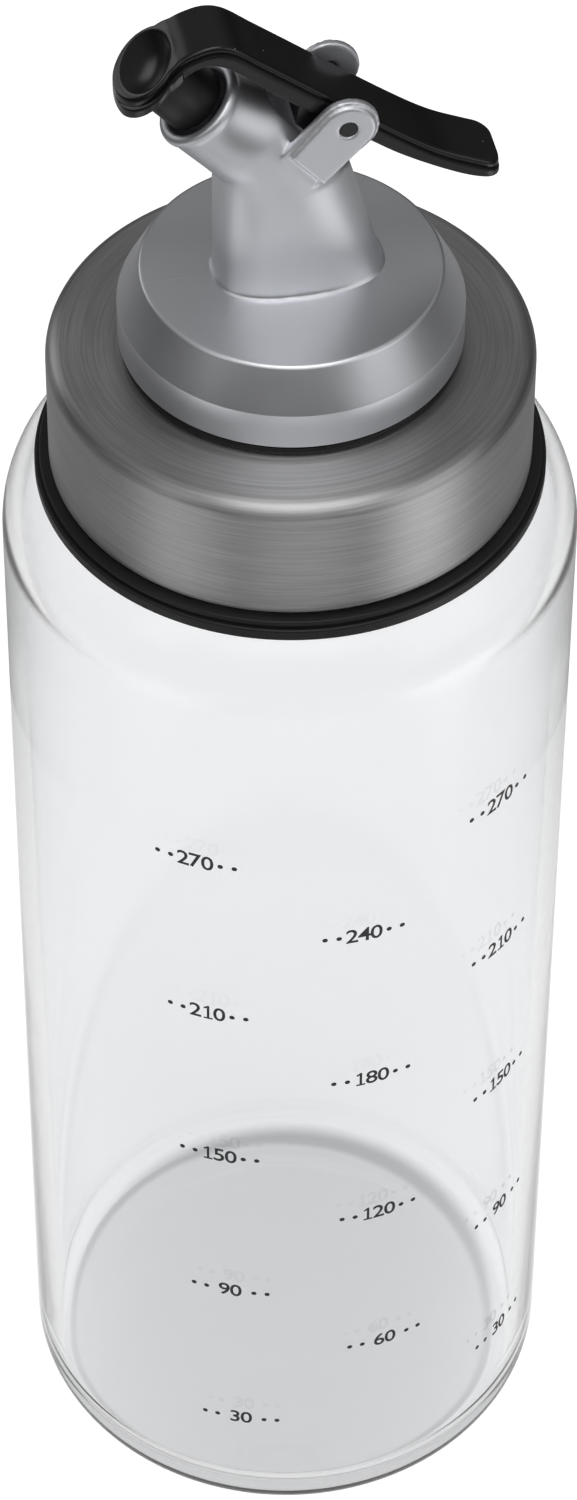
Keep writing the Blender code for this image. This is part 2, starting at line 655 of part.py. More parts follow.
def stopper(look):
    """Soft plug on the head's stud, with a blunt cone that seats in the mouth."""
    top = HEAD_RISE - HEAD_T - GAP
    hole_r, hole_floor = STUD_R + RUNNING_GAP, top - STUD_H
    outline = [(0.0, -PLUG_CONE_H), (PLUG_TIP_R, -PLUG_CONE_H + 0.0001), (PLUG_R, 0.0001),
               (PLUG_R, top - 0.0003), (PLUG_R - 0.0003, top), (hole_r, top),
               (hole_r, hole_floor), (0.0, hole_floor)]
    plug = turned("stopper", outline, look, steps=48, closed=False)
    plug.data.transform(SPOUT_FRAME)
    return plug


def hinge_pin(look):
    pin = rod("hinge_pin", PIN_R, -PIN_END, PIN_END, look)
    pin.data.transform(Matrix.Rotation(radians(90), 4, "X"))
    pin.location = PIVOT
    return pin


def hang_on_hinge(*pieces):
    """Give the lever and its stopper an empty on the hinge axis as their parent."""
    hinge = bpy.data.objects.new("lever_hinge", None)
    hinge.location = PIVOT
    hinge.empty_display_size = 0.005
    bpy.context.scene.collection.objects.link(hinge)
    bpy.context.view_layer.update()
    for piece in pieces:
        piece.parent = hinge
        piece.matrix_parent_inverse = hinge.matrix_world.inverted()


def build():
    clear_scene()
    glass = material("clear_glass", (0.93, 0.96, 0.96), roughness=0.03, alpha=0.35)
    steel = material("brushed_steel", (0.62, 0.62, 0.62), metallic=1.0, roughness=0.32)
    silver = material("silver_plastic", (0.46, 0.47, 0.49), metallic=0.6, roughness=0.34)
    black = material("black_plastic", (0.022, 0.022, 0.024), roughness=0.28)
    rubber = material("black_rubber", (0.025, 0.025, 0.026), roughness=0.55)
    silicone = material("grey_silicone", (0.10, 0.10, 0.10), roughness=0.5)
    natural = material("white_plastic", (0.80, 0.80, 0.78), roughness=0.45)
    glass_bottle(glass)
    shoulder_gasket(rubber)
    cap_shell(steel)
    cap_liner(natural)
    lip_washer(silicone)
    pourer_gasket(rubber)
    pourer_body(silver)
    stem_nut(natural)
    vent_tube(natural)
    arm = lever(black)
    plug = stopper(silicone)
    hinge_pin(black)
    hang_on_hinge(arm, plug)


build()
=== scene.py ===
# %% [markdown]
# # An oil cruet, dressed
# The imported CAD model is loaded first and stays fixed: it says where every piece is and how it moves.
# Each cell after that makes one visible piece or one finish over it.
# The bottle's axis is +Z, the spout points to -X and the lever's tail to +X. Everything is in metres.

# %% Load the fixed frame
from math import acos, asin, atan2, copysign, cos, degrees, exp, pi, radians, sin, sqrt, tan, tau

import bmesh
import bpy
from mathutils import Matrix, Vector


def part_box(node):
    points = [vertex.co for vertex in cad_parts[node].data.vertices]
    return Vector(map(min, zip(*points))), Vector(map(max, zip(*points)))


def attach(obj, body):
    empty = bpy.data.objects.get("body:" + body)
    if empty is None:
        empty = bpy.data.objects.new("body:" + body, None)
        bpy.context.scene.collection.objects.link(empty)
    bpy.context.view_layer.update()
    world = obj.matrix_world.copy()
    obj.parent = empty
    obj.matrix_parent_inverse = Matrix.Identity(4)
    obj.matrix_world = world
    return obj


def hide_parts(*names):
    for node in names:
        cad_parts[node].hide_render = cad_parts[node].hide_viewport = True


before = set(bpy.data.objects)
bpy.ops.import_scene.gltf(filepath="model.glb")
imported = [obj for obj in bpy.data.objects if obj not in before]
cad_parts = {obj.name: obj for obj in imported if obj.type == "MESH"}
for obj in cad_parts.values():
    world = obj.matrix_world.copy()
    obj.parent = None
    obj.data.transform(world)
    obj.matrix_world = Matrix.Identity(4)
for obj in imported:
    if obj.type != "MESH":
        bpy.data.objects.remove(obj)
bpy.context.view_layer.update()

scene = bpy.context.scene
MM = 0.001
print("nodes:", ", ".join(sorted(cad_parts)))

# %% [markdown]
# ## Camera
# The photograph looks down at the bottle at about 47 degrees, through a long lens.
# A camera can be aimed by a constraint or by a matrix. A matrix is used, because it also holds the
# slight roll that the photograph has.

# %% Place the camera
EYE, AIM, ROLL = Vector((-0.0878, -0.40620, 0.54857)), Vector((0, 0, 0.10043)), 0.0059
camera_data = bpy.data.cameras.new("camera")
camera_data.lens = 134.44
camera_data.sensor_width = 36
camera_data.clip_start = 0.01
camera = bpy.data.objects.new("camera", camera_data)
scene.collection.objects.link(camera)
turn = (AIM - EYE).to_track_quat("-Z", "Y").to_matrix() @ Matrix.Rotation(ROLL, 3, "Z")
camera.matrix_world = Matrix.Translation(EYE) @ turn.to_4x4()
scene.camera = camera
print("camera distance mm:", round((AIM - EYE).length / MM))

# %% [markdown]
# ## Helpers for shapes
# Round pieces are spun: a few points give half the outline, and the spin operator turns them round the
# axis. Pieces whose section changes along their length are pulled: a ring of edges is extruded, and
# each new ring is moved to its place. Both ways keep the faces even, so highlights run smoothly.

# %% Spin and pull
ROUND = 160


def arc(centre, radius, start, end, steps):
    """Points on an arc in the outline's plane, both ends included. Angles are in degrees."""
    for i in range(steps + 1):
        a = radians(start + (end - start) * i / steps)
        yield centre[0] + radius * cos(a), centre[1] + radius * sin(a)


def spun(outline, steps=ROUND, closed=True):
    """A solid turned round Z from (radius, height) points."""
    bm = bmesh.new()
    points = [bm.verts.new((r, 0, z)) for r, z in outline]
    for a, b in zip(points, points[1:]):
        bm.edges.new((a, b))
    if closed:
        bm.edges.new((points[-1], points[0]))
    bmesh.ops.spin(bm, geom=bm.verts[:] + bm.edges[:], cent=(0, 0, 0), axis=(0, 0, 1), angle=tau,
                   steps=steps, use_merge=True)
    bmesh.ops.remove_doubles(bm, verts=bm.verts, dist=1e-6)
    bmesh.ops.recalc_face_normals(bm, faces=bm.faces)
    return bm


def pulled(rings):
    """A solid pulled through rings, which are lists of equally many points, and closed at both ends."""
    bm = bmesh.new()
    index = bm.verts.layers.int.new("index")
    count = len(rings[0])
    for i, v in enumerate(bmesh.ops.create_circle(bm, cap_ends=True, radius=1, segments=count)["verts"]):
        v[index] = i
        v.co = rings[0][i]
    edges = bm.edges[:]
    for ring in rings[1:]:
        grown = bmesh.ops.extrude_edge_only(bm, edges=edges)["geom"]
        fresh = {v for v in grown if isinstance(v, bmesh.types.BMVert)}
        for v in fresh:
            v.co = ring[v[index]]
        edges = [e for e in grown if isinstance(e, bmesh.types.BMEdge) and fresh.issuperset(e.verts)]
    bmesh.ops.contextual_create(bm, geom=edges)
    bmesh.ops.recalc_face_normals(bm, faces=bm.faces)
    return bm


def merged(*parts):
    """Several meshes as one, without joining their faces."""
    whole = bmesh.new()
    for part in parts:
        sheet = bpy.data.meshes.new("part")
        part.to_mesh(sheet)
        part.free()
        whole.from_mesh(sheet)
        bpy.data.meshes.remove(sheet)
    return whole


def finished(name, bm, look, body, stands_for=(), sharp=35):
    """Makes the object, shades it smooth up to an edge angle, and hangs it on its CAD body."""
    for face in bm.faces:
        face.smooth = True
    for edge in bm.edges:
        edge.smooth = len(edge.link_faces) == 2 and edge.calc_face_angle(0.0) < radians(sharp)
    mesh = bpy.data.meshes.new(name)
    bm.to_mesh(mesh)
    bm.free()
    mesh.materials.append(look)
    piece = bpy.data.objects.new(name, mesh)
    scene.collection.objects.link(piece)
    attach(piece, body)
    if stands_for:
        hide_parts(*stands_for)
    print(name, "faces", len(mesh.polygons), "size mm", [round(d / MM, 1) for d in piece.dimensions])


# %% [markdown]
# ## Helpers for finishes
# A finish that several materials share is a node group, built once. Each material places the group,
# sets its numbers and keeps its own Principled shader.

# %% Node helpers
def fill(tree, socket, value):
    """Links the socket to another one, or sets its own value."""
    if isinstance(value, bpy.types.NodeSocket):
        tree.links.new(value, socket)
    else:
        socket.default_value = value


def add_node(tree, kind, settings=None, **inputs):
    """Adds a node, sets its properties, and fills or links its inputs by name or number."""
    node = tree.nodes.new("ShaderNode" + kind)
    for name, value in (settings or {}).items():
        setattr(node, name, value)
    for name, value in inputs.items():
        numbered = name[0] == "i" and name[1:].isdigit()
        fill(tree, node.inputs[int(name[1:]) if numbered else name.replace("_", " ")], value)
    return node


def math_node(tree, operation, a, b=0.0):
    return add_node(tree, "Math", {"operation": operation}, i0=a, i1=b).outputs[0]


def plus(tree, a, b):
    return math_node(tree, "ADD", a, b)


def times(tree, a, b):
    return math_node(tree, "MULTIPLY", a, b)


def larger(tree, a, b):
    return math_node(tree, "MAXIMUM", a, b)


def ramp(tree, value, start, end, low=0.0, high=1.0):
    """Goes softly from low to high while the value goes from start to end."""
    return add_node(tree, "MapRange", {"clamp": True, "interpolation_type": "SMOOTHSTEP"}, Value=value,
                    From_Min=start, From_Max=end, To_Min=low, To_Max=high).outputs[0]


def mix_value(tree, share, a, b):
    return add_node(tree, "MapRange", {"clamp": True}, Value=share, To_Min=a, To_Max=b).outputs[0]


def mix_colour(tree, share, a, b):
    return add_node(tree, "Mix", {"data_type": "RGBA"}, i0=share, i6=a, i7=b).outputs[2]


def new_group(name, inputs, outputs):
    """An empty node group with named sockets: (name, type, default) in, (name, type) out."""
    tree = bpy.data.node_groups.new(name, "ShaderNodeTree")
    for label, kind, default in inputs:
        socket = tree.interface.new_socket(label, in_out="INPUT", socket_type="NodeSocket" + kind)
        if default is not None:
            socket.default_value = default
    for label, kind in outputs:
        tree.interface.new_socket(label, in_out="OUTPUT", socket_type="NodeSocket" + kind)
    return tree, tree.nodes.new("NodeGroupInput").outputs, tree.nodes.new("NodeGroupOutput").inputs


def use_group(tree, group, **inputs):
    return add_node(tree, "Group", {"node_tree": group}, **inputs).outputs


def new_material(name, **constants):
    """A material with its Principled shader, whose plain numbers and colours are set on its sockets."""
    look = bpy.data.materials.new(name)
    look.use_nodes = True
    shader = look.node_tree.nodes["Principled BSDF"]
    for label, value in constants.items():
        shader.inputs[label.replace("_", " ")].default_value = value
    place = look.node_tree.nodes.new("ShaderNodeTexCoord").outputs["Object"]
    return look, look.node_tree, shader, place


def feed(tree, shader, **sockets):
    for label, value in sockets.items():
        tree.links.new(value, shader.inputs[label.replace("_", " ")])


# %% [markdown]
# ### Dust and pits
# Real plastic and rubber carry a few pale specks. A Voronoi texture gives one point in each cell; a
# cell is kept by its random colour, and the distance to its point makes the speck.

# %% Group: specks
specks, given, out = new_group("specks", [("Place", "Vector", None), ("Spacing", "Float", 0.002),
                                          ("Radius", "Float", 0.00008), ("Share", "Float", 0.1)],
                               [("Mask", "Float")])
cells = add_node(specks, "TexVoronoi", Vector=given["Place"],
                 Scale=math_node(specks, "DIVIDE", 1.0, given["Spacing"]))
dot = math_node(specks, "LESS_THAN", cells.outputs["Distance"],
                math_node(specks, "DIVIDE", given["Radius"], given["Spacing"]))
pick = add_node(specks, "SeparateColor", Color=cells.outputs["Color"])
kept = math_node(specks, "LESS_THAN", pick.outputs[0], given["Share"])
specks.links.new(times(specks, dot, kept), out["Mask"])
print("group specks ready")

# %% [markdown]
# ### Uneven surface
# No moulded or rolled surface is even. Soft noise at two sizes gives a value round one half, which
# materials use for tone and roughness, and a height for a bump.

# %% Group: uneven
uneven, given, out = new_group("uneven", [("Place", "Vector", None), ("Patch size", "Float", 0.01),
                                          ("Grain size", "Float", 0.0004)],
                               [("Patches", "Float"), ("Grain", "Float")])
patch = add_node(uneven, "TexNoise", Vector=given["Place"], Detail=2.0,
                 Scale=math_node(uneven, "DIVIDE", 1.0, given["Patch size"]))
grain = add_node(uneven, "TexNoise", Vector=given["Place"], Detail=1.0,
                 Scale=math_node(uneven, "DIVIDE", 1.0, given["Grain size"]))
uneven.links.new(patch.outputs[0], out["Patches"])
uneven.links.new(grain.outputs[0], out["Grain"])
print("group uneven ready")

# %% [markdown]
# ## Glass
# The bottle is taken for borosilicate glass, with almost no tint. It could be a thin shell with a
# fake see-through shader, but a real wall with refraction gives the grey rims by itself. Light that
# meets the wall at a slant takes a longer way through it, so the tint grows there. The shoulder looks
# a little soft, as glass shaped in a flame does. Lamps cannot shine through refracting glass without
# noise, so its shadow is let through.

# %% Material: clear glass
clear_glass, tree, shader, place = new_material(
    "clear_glass", Base_Color=(0.972, 0.977, 0.985, 1), IOR=1.47, Transmission_Weight=1.0, Roughness=0.0)
drawn = use_group(tree, uneven, Place=place, Patch_size=0.018, Grain_size=0.006)
ripple = add_node(tree, "Bump", Height=drawn["Patches"], Strength=0.04, Distance=0.0002)
slant = add_node(tree, "LayerWeight", Blend=0.5).outputs["Facing"]
height = add_node(tree, "SeparateXYZ", Vector=place).outputs[2]
feed(tree, shader, Normal=ripple.outputs[0], Roughness=ramp(tree, height, 0.112, 0.132, 0.0, 0.10),
     Base_Color=mix_colour(tree, ramp(tree, slant, 0.55, 0.95), (0.975, 0.98, 0.987, 1),
                           (0.86, 0.87, 0.885, 1)))
pass_light = tree.nodes.new("ShaderNodeBsdfTransparent")
pass_light.inputs[0].default_value = (0.84, 0.845, 0.85, 1)
rays = tree.nodes.new("ShaderNodeLightPath").outputs
blend = add_node(tree, "MixShader", i0=rays["Is Shadow Ray"], i1=shader.outputs[0], i2=pass_light.outputs[0])
tree.links.new(blend.outputs[0], tree.nodes["Material Output"].inputs[0])
print("material", clear_glass.name)

# %% [markdown]
# ## Brushed steel
# The cap is brushed round its axis: fine lines at one radius or one height run all the way round. A
# noise that is read at the radius and the height, and hardly at the angle, draws those lines, as tone
# and as a very low bump. Lines too fine to draw still stretch each highlight across themselves. The
# shader's anisotropy does that, with a tangent that runs round the axis as the brush did.

# %% Material: brushed steel
ALONG, ACROSS_LINES = 110.0, 5000.0
brushed_steel, tree, shader, place = new_material(
    "brushed_steel", Metallic=1.0, Anisotropic=0.8, Anisotropic_Rotation=0.25,
    Base_Color=(0.55, 0.55, 0.55, 1))
axes = add_node(tree, "SeparateXYZ", Vector=place).outputs
radius = math_node(tree, "SQRT", plus(tree, times(tree, axes[0], axes[0]), times(tree, axes[1], axes[1])))
slow = add_node(tree, "VectorMath", {"operation": "SCALE"}, i0=place, Scale=ALONG)
slow_axes = add_node(tree, "SeparateXYZ", Vector=slow.outputs[0]).outputs
lines_at = add_node(tree, "CombineXYZ", X=plus(tree, slow_axes[0], times(tree, radius, ACROSS_LINES)),
                    Y=slow_axes[1], Z=times(tree, axes[2], ACROSS_LINES))
lines = add_node(tree, "TexNoise", Vector=lines_at.outputs[0], Scale=1.0, Detail=3.0, Roughness=0.6)
rolled = use_group(tree, uneven, Place=place, Patch_size=0.02, Grain_size=0.0015)
streak = add_node(tree, "MapRange", {"clamp": True}, Value=lines.outputs[0], From_Min=0.35,
                  From_Max=0.65).outputs[0]
brush = add_node(tree, "Bump", Height=lines.outputs[0], Strength=0.35, Distance=0.00003)
round_axis = add_node(tree, "Tangent", {"direction_type": "RADIAL", "axis": "Z"})
feed(tree, shader, Normal=brush.outputs[0], Tangent=round_axis.outputs[0],
     Base_Color=mix_colour(tree, streak, (0.42, 0.42, 0.42, 1), (0.56, 0.56, 0.565, 1)),
     Roughness=plus(tree, mix_value(tree, streak, 0.38, 0.46),
                    mix_value(tree, rolled["Patches"], -0.04, 0.04)))
print("material", brushed_steel.name)

# %% [markdown]
# ## Silver plastic
# The pourer is plastic with fine metal flake in it. It is mostly metallic, faintly blue, with a soft
# bloom and small flow marks. Such a moulding has a faint parting line where the halves of the mould
# met; it is raised a little, and its tone is a painted highlight, lighter than the plastic. There is
# a small ring where the plastic was let in. The column and the spout are a little duller than the disc.

# %% Material: silver plastic
GATE, GATE_R = (-0.0068, -0.0052, 0.1779), 0.00065
silver_plastic, tree, shader, place = new_material(
    "silver_plastic", Metallic=0.9, Base_Color=(0.6, 0.61, 0.63, 1))
flow = use_group(tree, uneven, Place=place, Patch_size=0.006, Grain_size=0.00018)
dust = use_group(tree, specks, Place=place, Spacing=0.0022, Radius=0.00007, Share=0.12)
axes = add_node(tree, "SeparateXYZ", Vector=place).outputs
# Mask of the parting line: it raises a low ridge in the bump and also carries a painted highlight in the
# tone.
parting_ridge_and_highlight = ramp(tree, math_node(tree, "ABSOLUTE", axes[1]), 0.00003, 0.00012, 1.0, 0.0)
from_gate = add_node(tree, "VectorMath", {"operation": "DISTANCE"}, i0=place, i1=GATE).outputs["Value"]
off_ring = math_node(tree, "ABSOLUTE", math_node(tree, "SUBTRACT", from_gate, GATE_R))
gate = math_node(tree, "LESS_THAN", off_ring, 0.00006)
raised = plus(tree, plus(tree, times(tree, parting_ridge_and_highlight, 0.5), times(tree, gate, -0.5)),
              times(tree, flow["Grain"], 0.10))
tone = mix_colour(tree, flow["Patches"], (0.68, 0.69, 0.72, 1), (0.77, 0.78, 0.81, 1))
# Painted highlight: the tone is lighter along the parting line, in place of the light its ridge catches.
tone = mix_colour(tree, times(tree, parting_ridge_and_highlight, 0.45), tone, (0.85, 0.86, 0.88, 1))
tone = mix_colour(tree, times(tree, gate, 0.4), tone, (0.35, 0.36, 0.38, 1))
tone = mix_colour(tree, dust["Mask"], tone, (0.85, 0.86, 0.87, 1))
moulded = add_node(tree, "Bump", Height=raised, Strength=0.35, Distance=0.00006)
duller = add_node(tree, "MapRange", {"clamp": True}, Value=axes[2], From_Min=0.1725, From_Max=0.1745,
                  To_Min=0.0, To_Max=0.09).outputs[0]
feed(tree, shader, Base_Color=tone, Normal=moulded.outputs[0],
     Roughness=plus(tree, mix_value(tree, flow["Patches"], 0.32, 0.40), duller))
print("material", silver_plastic.name)

# %% [markdown]
# ## Black plastic, rubber and the hidden plastics
# The lever is moulded in black plastic with a satin gloss and a few specks of dust. The gaskets and
# the stopper are duller. The liner, washer, nut and tube are plain mouldings that show only from below
# and through the neck. One function makes all of them, and the pin's metal and the scale's ink, because
# they differ only in their numbers.

# %% Materials: plain mouldings
def moulding(name, dark, light, rough, dust_share, dust_tone, bump=0.12, **constants):
    look, tree, shader, place = new_material(name, Base_Color=(*dark, 1), **constants)
    surface = use_group(tree, uneven, Place=place, Patch_size=0.005, Grain_size=0.0002)
    dust = use_group(tree, specks, Place=place, Spacing=0.0016, Radius=0.00006, Share=dust_share)
    tone = mix_colour(tree, surface["Patches"], (*dark, 1), (*light, 1))
    tone = mix_colour(tree, dust["Mask"], tone, (*dust_tone, 1))
    bumps = add_node(tree, "Bump", Height=surface["Grain"], Strength=bump, Distance=0.00004)
    feed(tree, shader, Base_Color=tone, Normal=bumps.outputs[0],
         Roughness=mix_value(tree, surface["Patches"], *rough))
    print("material", name)
    return look


black_plastic = moulding("black_plastic", (0.006, 0.006, 0.007), (0.010, 0.010, 0.011), (0.17, 0.25),
                         0.07, (0.35, 0.35, 0.33), Specular_IOR_Level=0.45)
black_rubber = moulding("black_rubber", (0.007, 0.007, 0.0075), (0.013, 0.013, 0.014), (0.38, 0.50),
                        0.10, (0.30, 0.30, 0.29), bump=0.3, Specular_IOR_Level=0.36)
grey_silicone = moulding("grey_silicone", (0.085, 0.085, 0.088), (0.11, 0.11, 0.112), (0.45, 0.6),
                         0.05, (0.3, 0.3, 0.3), bump=0.3)
white_plastic = moulding("white_plastic", (0.74, 0.74, 0.715), (0.80, 0.80, 0.785), (0.38, 0.5),
                         0.02, (0.6, 0.6, 0.58))
pin_metal = moulding("pin_metal", (0.03, 0.03, 0.032), (0.06, 0.06, 0.062), (0.3, 0.45), 0.02,
                     (0.3, 0.3, 0.3), Metallic=0.6)
print_ink = moulding("print_ink", (0.020, 0.020, 0.022), (0.05, 0.05, 0.055), (0.4, 0.55), 0.0,
                     (0.1, 0.1, 0.1))

# %% [markdown]
# ## The bottle
# One glass tube with a thick, pushed-up foot, a round shoulder and a neck. Its wall is spun as one
# closed outline, outside and inside, so the glass is a wall of its own thickness everywhere. The neck
# is plain here: its thread, which the closed cap hides, is only in the CAD solid.

# %% Glass bottle
BOTTLE_R, WALL, FOOT_IN_R, HEEL_R = 0.0300, 0.0020, 0.0238, 0.0048
PUSH_UP, FLOOR_Z, INNER_HEEL_R = 0.0012, 0.0034, 0.0034
WALL_TOP_Z, SHOULDER_R, NECK_R, NECK_WALL = 0.1364, 0.0110, 0.0202, 0.0026
LIP_Z = WALL_TOP_Z + 0.0216
LIP_ROUND = 0.0008


def shoulder_z(r, offset=0.0):
    """Height of the shoulder, or of a surface lying off it, at a radius."""
    out = max(0.0, r - (BOTTLE_R - SHOULDER_R))
    return WALL_TOP_Z + sqrt((SHOULDER_R + offset) ** 2 - out ** 2)


def bottle_outline():
    centre_r, root_r, bore_r = BOTTLE_R - SHOULDER_R, NECK_R + 0.0010, NECK_R - NECK_WALL
    turn = 90 - degrees(asin((root_r - centre_r) / SHOULDER_R))
    foot = [(FOOT_IN_R * s, PUSH_UP * (1 - s ** 4) * 0.9) for s in (0, 0.2, 0.4, 0.6, 0.75, 0.88, 0.96)]
    outer = foot + [(FOOT_IN_R + 0.0003, 0.00004), (FOOT_IN_R + 0.0008, 0.0)]
    outer += arc((BOTTLE_R - HEEL_R, HEEL_R), HEEL_R, -90, 0, 20)
    outer += arc((centre_r, WALL_TOP_Z), SHOULDER_R, 0, turn, 32)
    outer += [(NECK_R + 0.0003, shoulder_z(root_r) + 0.0004), (NECK_R, shoulder_z(root_r) + 0.0012)]
    outer += arc((NECK_R - LIP_ROUND, LIP_Z - LIP_ROUND), LIP_ROUND, 0, 90, 8)
    inner_r, bend = BOTTLE_R - WALL, SHOULDER_R - WALL
    inner = list(arc((bore_r + LIP_ROUND, LIP_Z - LIP_ROUND), LIP_ROUND, 90, 180, 8))
    inner += [(bore_r, WALL_TOP_Z + bend + 0.0010), (bore_r + 0.0005, WALL_TOP_Z + bend + 0.0002)]
    inner += arc((centre_r, WALL_TOP_Z), bend, 86, 0, 28)
    inner += arc((inner_r - INNER_HEEL_R, FLOOR_Z + INNER_HEEL_R), INNER_HEEL_R, 0, -90, 16)
    inner += [(0.018, FLOOR_Z + 0.0001), (0.009, FLOOR_Z + 0.0003), (0.0, FLOOR_Z + 0.0004)]
    return outer + inner


finished("bottle", spun(bottle_outline(), steps=192, closed=False), clear_glass, "bottle",
         ["glass_bottle"], sharp=50)

# %% [markdown]
# ## The printed scale
# Three columns of black numbers, 30 ml apart, with two dots on each side. A picture could be laid on
# the glass, but thin meshes stay sharp from every side. The digits are text turned into a mesh, all
# but the plain 1, which is three bars. Each mark is made flat and then wrapped round the glass: a
# point's distance along the line becomes an angle.

# %% Flat marks
INK, DIGIT_H, DIGIT_STEP, BOLD = 0.00002, 0.0021, 0.00134, 0.00003
DOT_R, DOTS_AT = 0.00030, (-0.00424, -0.00274, 0.00274, 0.00424)
ONE_BARS = (((0.00010, 0), 0, 0.00028, DIGIT_H), ((0.00010, 0.00011 - DIGIT_H / 2), 0, 0.00100, 0.00022),
            ((-0.00013, 0.00078), 33, 0.00056, 0.00024))


def flat_digit(digit):
    """A mesh of one digit, flat in XY, with its strokes widened a little on both sides."""
    curve = bpy.data.curves.new(digit, "FONT")
    curve.body, curve.size, curve.align_x, curve.align_y = digit, 0.0027, "CENTER", "CENTER"
    curve.resolution_u, curve.offset = 4, BOLD
    text = bpy.data.objects.new(digit, curve)
    scene.collection.objects.link(text)
    bpy.context.view_layer.update()
    mesh = bpy.data.meshes.new_from_object(text.evaluated_get(bpy.context.evaluated_depsgraph_get()))
    bpy.data.objects.remove(text)
    return mesh


def scale_mark(amount):
    """Number and four dots as one thin solid, flat in XY, centred on the number."""
    bm = bmesh.new()
    digits = str(amount)
    for i, digit in enumerate(digits):
        seat = Vector(((i - (len(digits) - 1) / 2) * DIGIT_STEP, 0, 0))
        if digit == "1":
            for at, lean, width, tall in ONE_BARS:
                bar = Matrix.Translation(seat + Vector((*at, 0))) @ Matrix.Rotation(radians(lean), 4, "Z")
                for v in bmesh.ops.create_grid(bm, x_segments=1, y_segments=1, size=0.5, matrix=bar @
                                               Matrix.Diagonal((width, tall, 1, 1)))["verts"]:
                    v.tag = True
            continue
        bm.from_mesh(flat_digit(digit))
        fresh = [v for v in bm.verts if not v.tag]
        wide, tall = [v.co.x for v in fresh], [v.co.y for v in fresh]
        grow = DIGIT_H / (max(tall) - min(tall))
        middle = Vector(((max(wide) + min(wide)) / 2, (max(tall) + min(tall)) / 2, 0))
        for v in fresh:
            v.co, v.tag = seat + (v.co - middle) * grow, True
    for x in DOTS_AT:
        bmesh.ops.create_circle(bm, cap_ends=True, radius=DOT_R, segments=16,
                                matrix=Matrix.Translation((x, -0.0001, 0)))
    bmesh.ops.recalc_face_normals(bm, faces=bm.faces)
    raised = bmesh.ops.extrude_face_region(bm, geom=bm.faces[:], use_keep_orig=True)["geom"]
    bmesh.ops.translate(bm, vec=(0, 0, INK), verts=[v for v in raised if isinstance(v, bmesh.types.BMVert)])
    bmesh.ops.recalc_face_normals(bm, faces=bm.faces)
    return bm


# %% Wrap the marks round the glass
COLUMNS = ((239.05, 0.11410, (270, 210, 150, 90, 30)), (273.49, 0.10317, (240, 180, 120, 60)),
           (305.66, 0.11478, (270, 210, 150, 90, 30)))
ROW_DROP, ROW_TURN = 0.02395, 2.24
marks = []
for bearing, top_z, amounts in COLUMNS:
    for row, amount in enumerate(amounts):
        mark = scale_mark(amount)
        z = top_z - ROW_DROP * row
        middle = radians(bearing + ROW_TURN * row)
        for v in mark.verts:
            angle, reach = middle + v.co.x / BOTTLE_R, BOTTLE_R + 0.00001 + v.co.z
            v.co = (reach * cos(angle), reach * sin(angle), z + v.co.y)
        marks.append(mark)
finished("scale_marks", merged(*marks), print_ink, "bottle")

# %% [markdown]
# ## The shoulder gasket
# A soft black ring that lies on the shoulder under the cap. Its rim has a shallow groove, which
# catches a thin line of light, so the outline that is spun has a small step near its top.

# %% Shoulder gasket
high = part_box("shoulder_gasket")[1]
GASKET_R, GASKET_TOP, GASKET_W, OFF_GLASS = high.x, high.z, 0.0024, 0.0003
lying = [GASKET_R - GASKET_W + GASKET_W * i / 16 for i in range(16)]
outline = [(r, shoulder_z(r, OFF_GLASS)) for r in lying]
foot = shoulder_z(GASKET_R, OFF_GLASS) + 0.0001
groove = foot + 0.62 * (GASKET_TOP - foot)
outline += [(GASKET_R, foot)]
outline += arc((GASKET_R - 0.00025, groove - 0.00025), 0.00025, 0, 90, 5)
outline += [(GASKET_R - 0.0005, groove - 0.00004), (GASKET_R - 0.0005, groove + 0.0001)]
outline += arc((GASKET_R - 0.0007, GASKET_TOP - 0.0002), 0.0002, 0, 90, 5)
outline += [(GASKET_R - GASKET_W, GASKET_TOP)]
finished("gasket_ring", spun(outline, steps=192), black_rubber, "bottle", ["shoulder_gasket"])

# %% [markdown]
# ## The cap
# A drawn steel cup with a flat top and a round shoulder. It is spun with the thickness of its sheet,
# taken as 0.6 mm, so the hole in its top and its lower edge are thin. The lower edge is rounded, which
# gives a thin bright line just above the gasket.

# %% Steel cap
low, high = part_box("cap_shell")
CAP_R, CAP_TOP, CAP_FOOT, SHEET, FILLET = high.x, high.z, low.z, 0.0006, 0.0017
HOLE_R = 0.0089
outline = list(arc((CAP_R - 0.0003, CAP_FOOT + 0.0003), 0.0003, -90, 0, 5))
outline += arc((CAP_R - FILLET, CAP_TOP - FILLET), FILLET, 0, 90, 16)
outline += [(CAP_R - 0.004, CAP_TOP), (0.0140, CAP_TOP), (HOLE_R, CAP_TOP), (HOLE_R, CAP_TOP - SHEET)]
outline += arc((CAP_R - FILLET, CAP_TOP - FILLET), FILLET - SHEET, 90, 0, 10)
outline += [(CAP_R - SHEET, CAP_FOOT + 0.0002), (CAP_R - SHEET + 0.0002, CAP_FOOT)]
finished("steel_cap", spun(outline, steps=192), brushed_steel, "cap_turn", ["cap_shell"])

# %% [markdown]
# ## The pourer's gasket
# A flat black ring pressed between the cap and the pourer. Only its rim shows.

# %% Pourer gasket
low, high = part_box("pourer_gasket")
edge = 0.00025
outline = list(arc((high.x - edge, low.z + edge), edge, -90, 0, 5))
outline += arc((high.x - edge, high.z - edge), edge, 0, 90, 5)
outline += [(HOLE_R, high.z), (HOLE_R, low.z)]
finished("pourer_ring", spun(outline), black_rubber, "cap_turn", ["pourer_gasket"])

# %% [markdown]
# ## The pourer
# One silver moulding: a stem, a disc with a sloping rim, a column that bends into the spout, and two
# ears for the lever. The disc is spun. The column is pulled through sections that change from a
# rounded box to a circle. The ears are outlines given thickness. The spout leans, so its pieces are
# drawn in its own axes: rise goes across it, towards the lever, and height along it, out of the mouth.

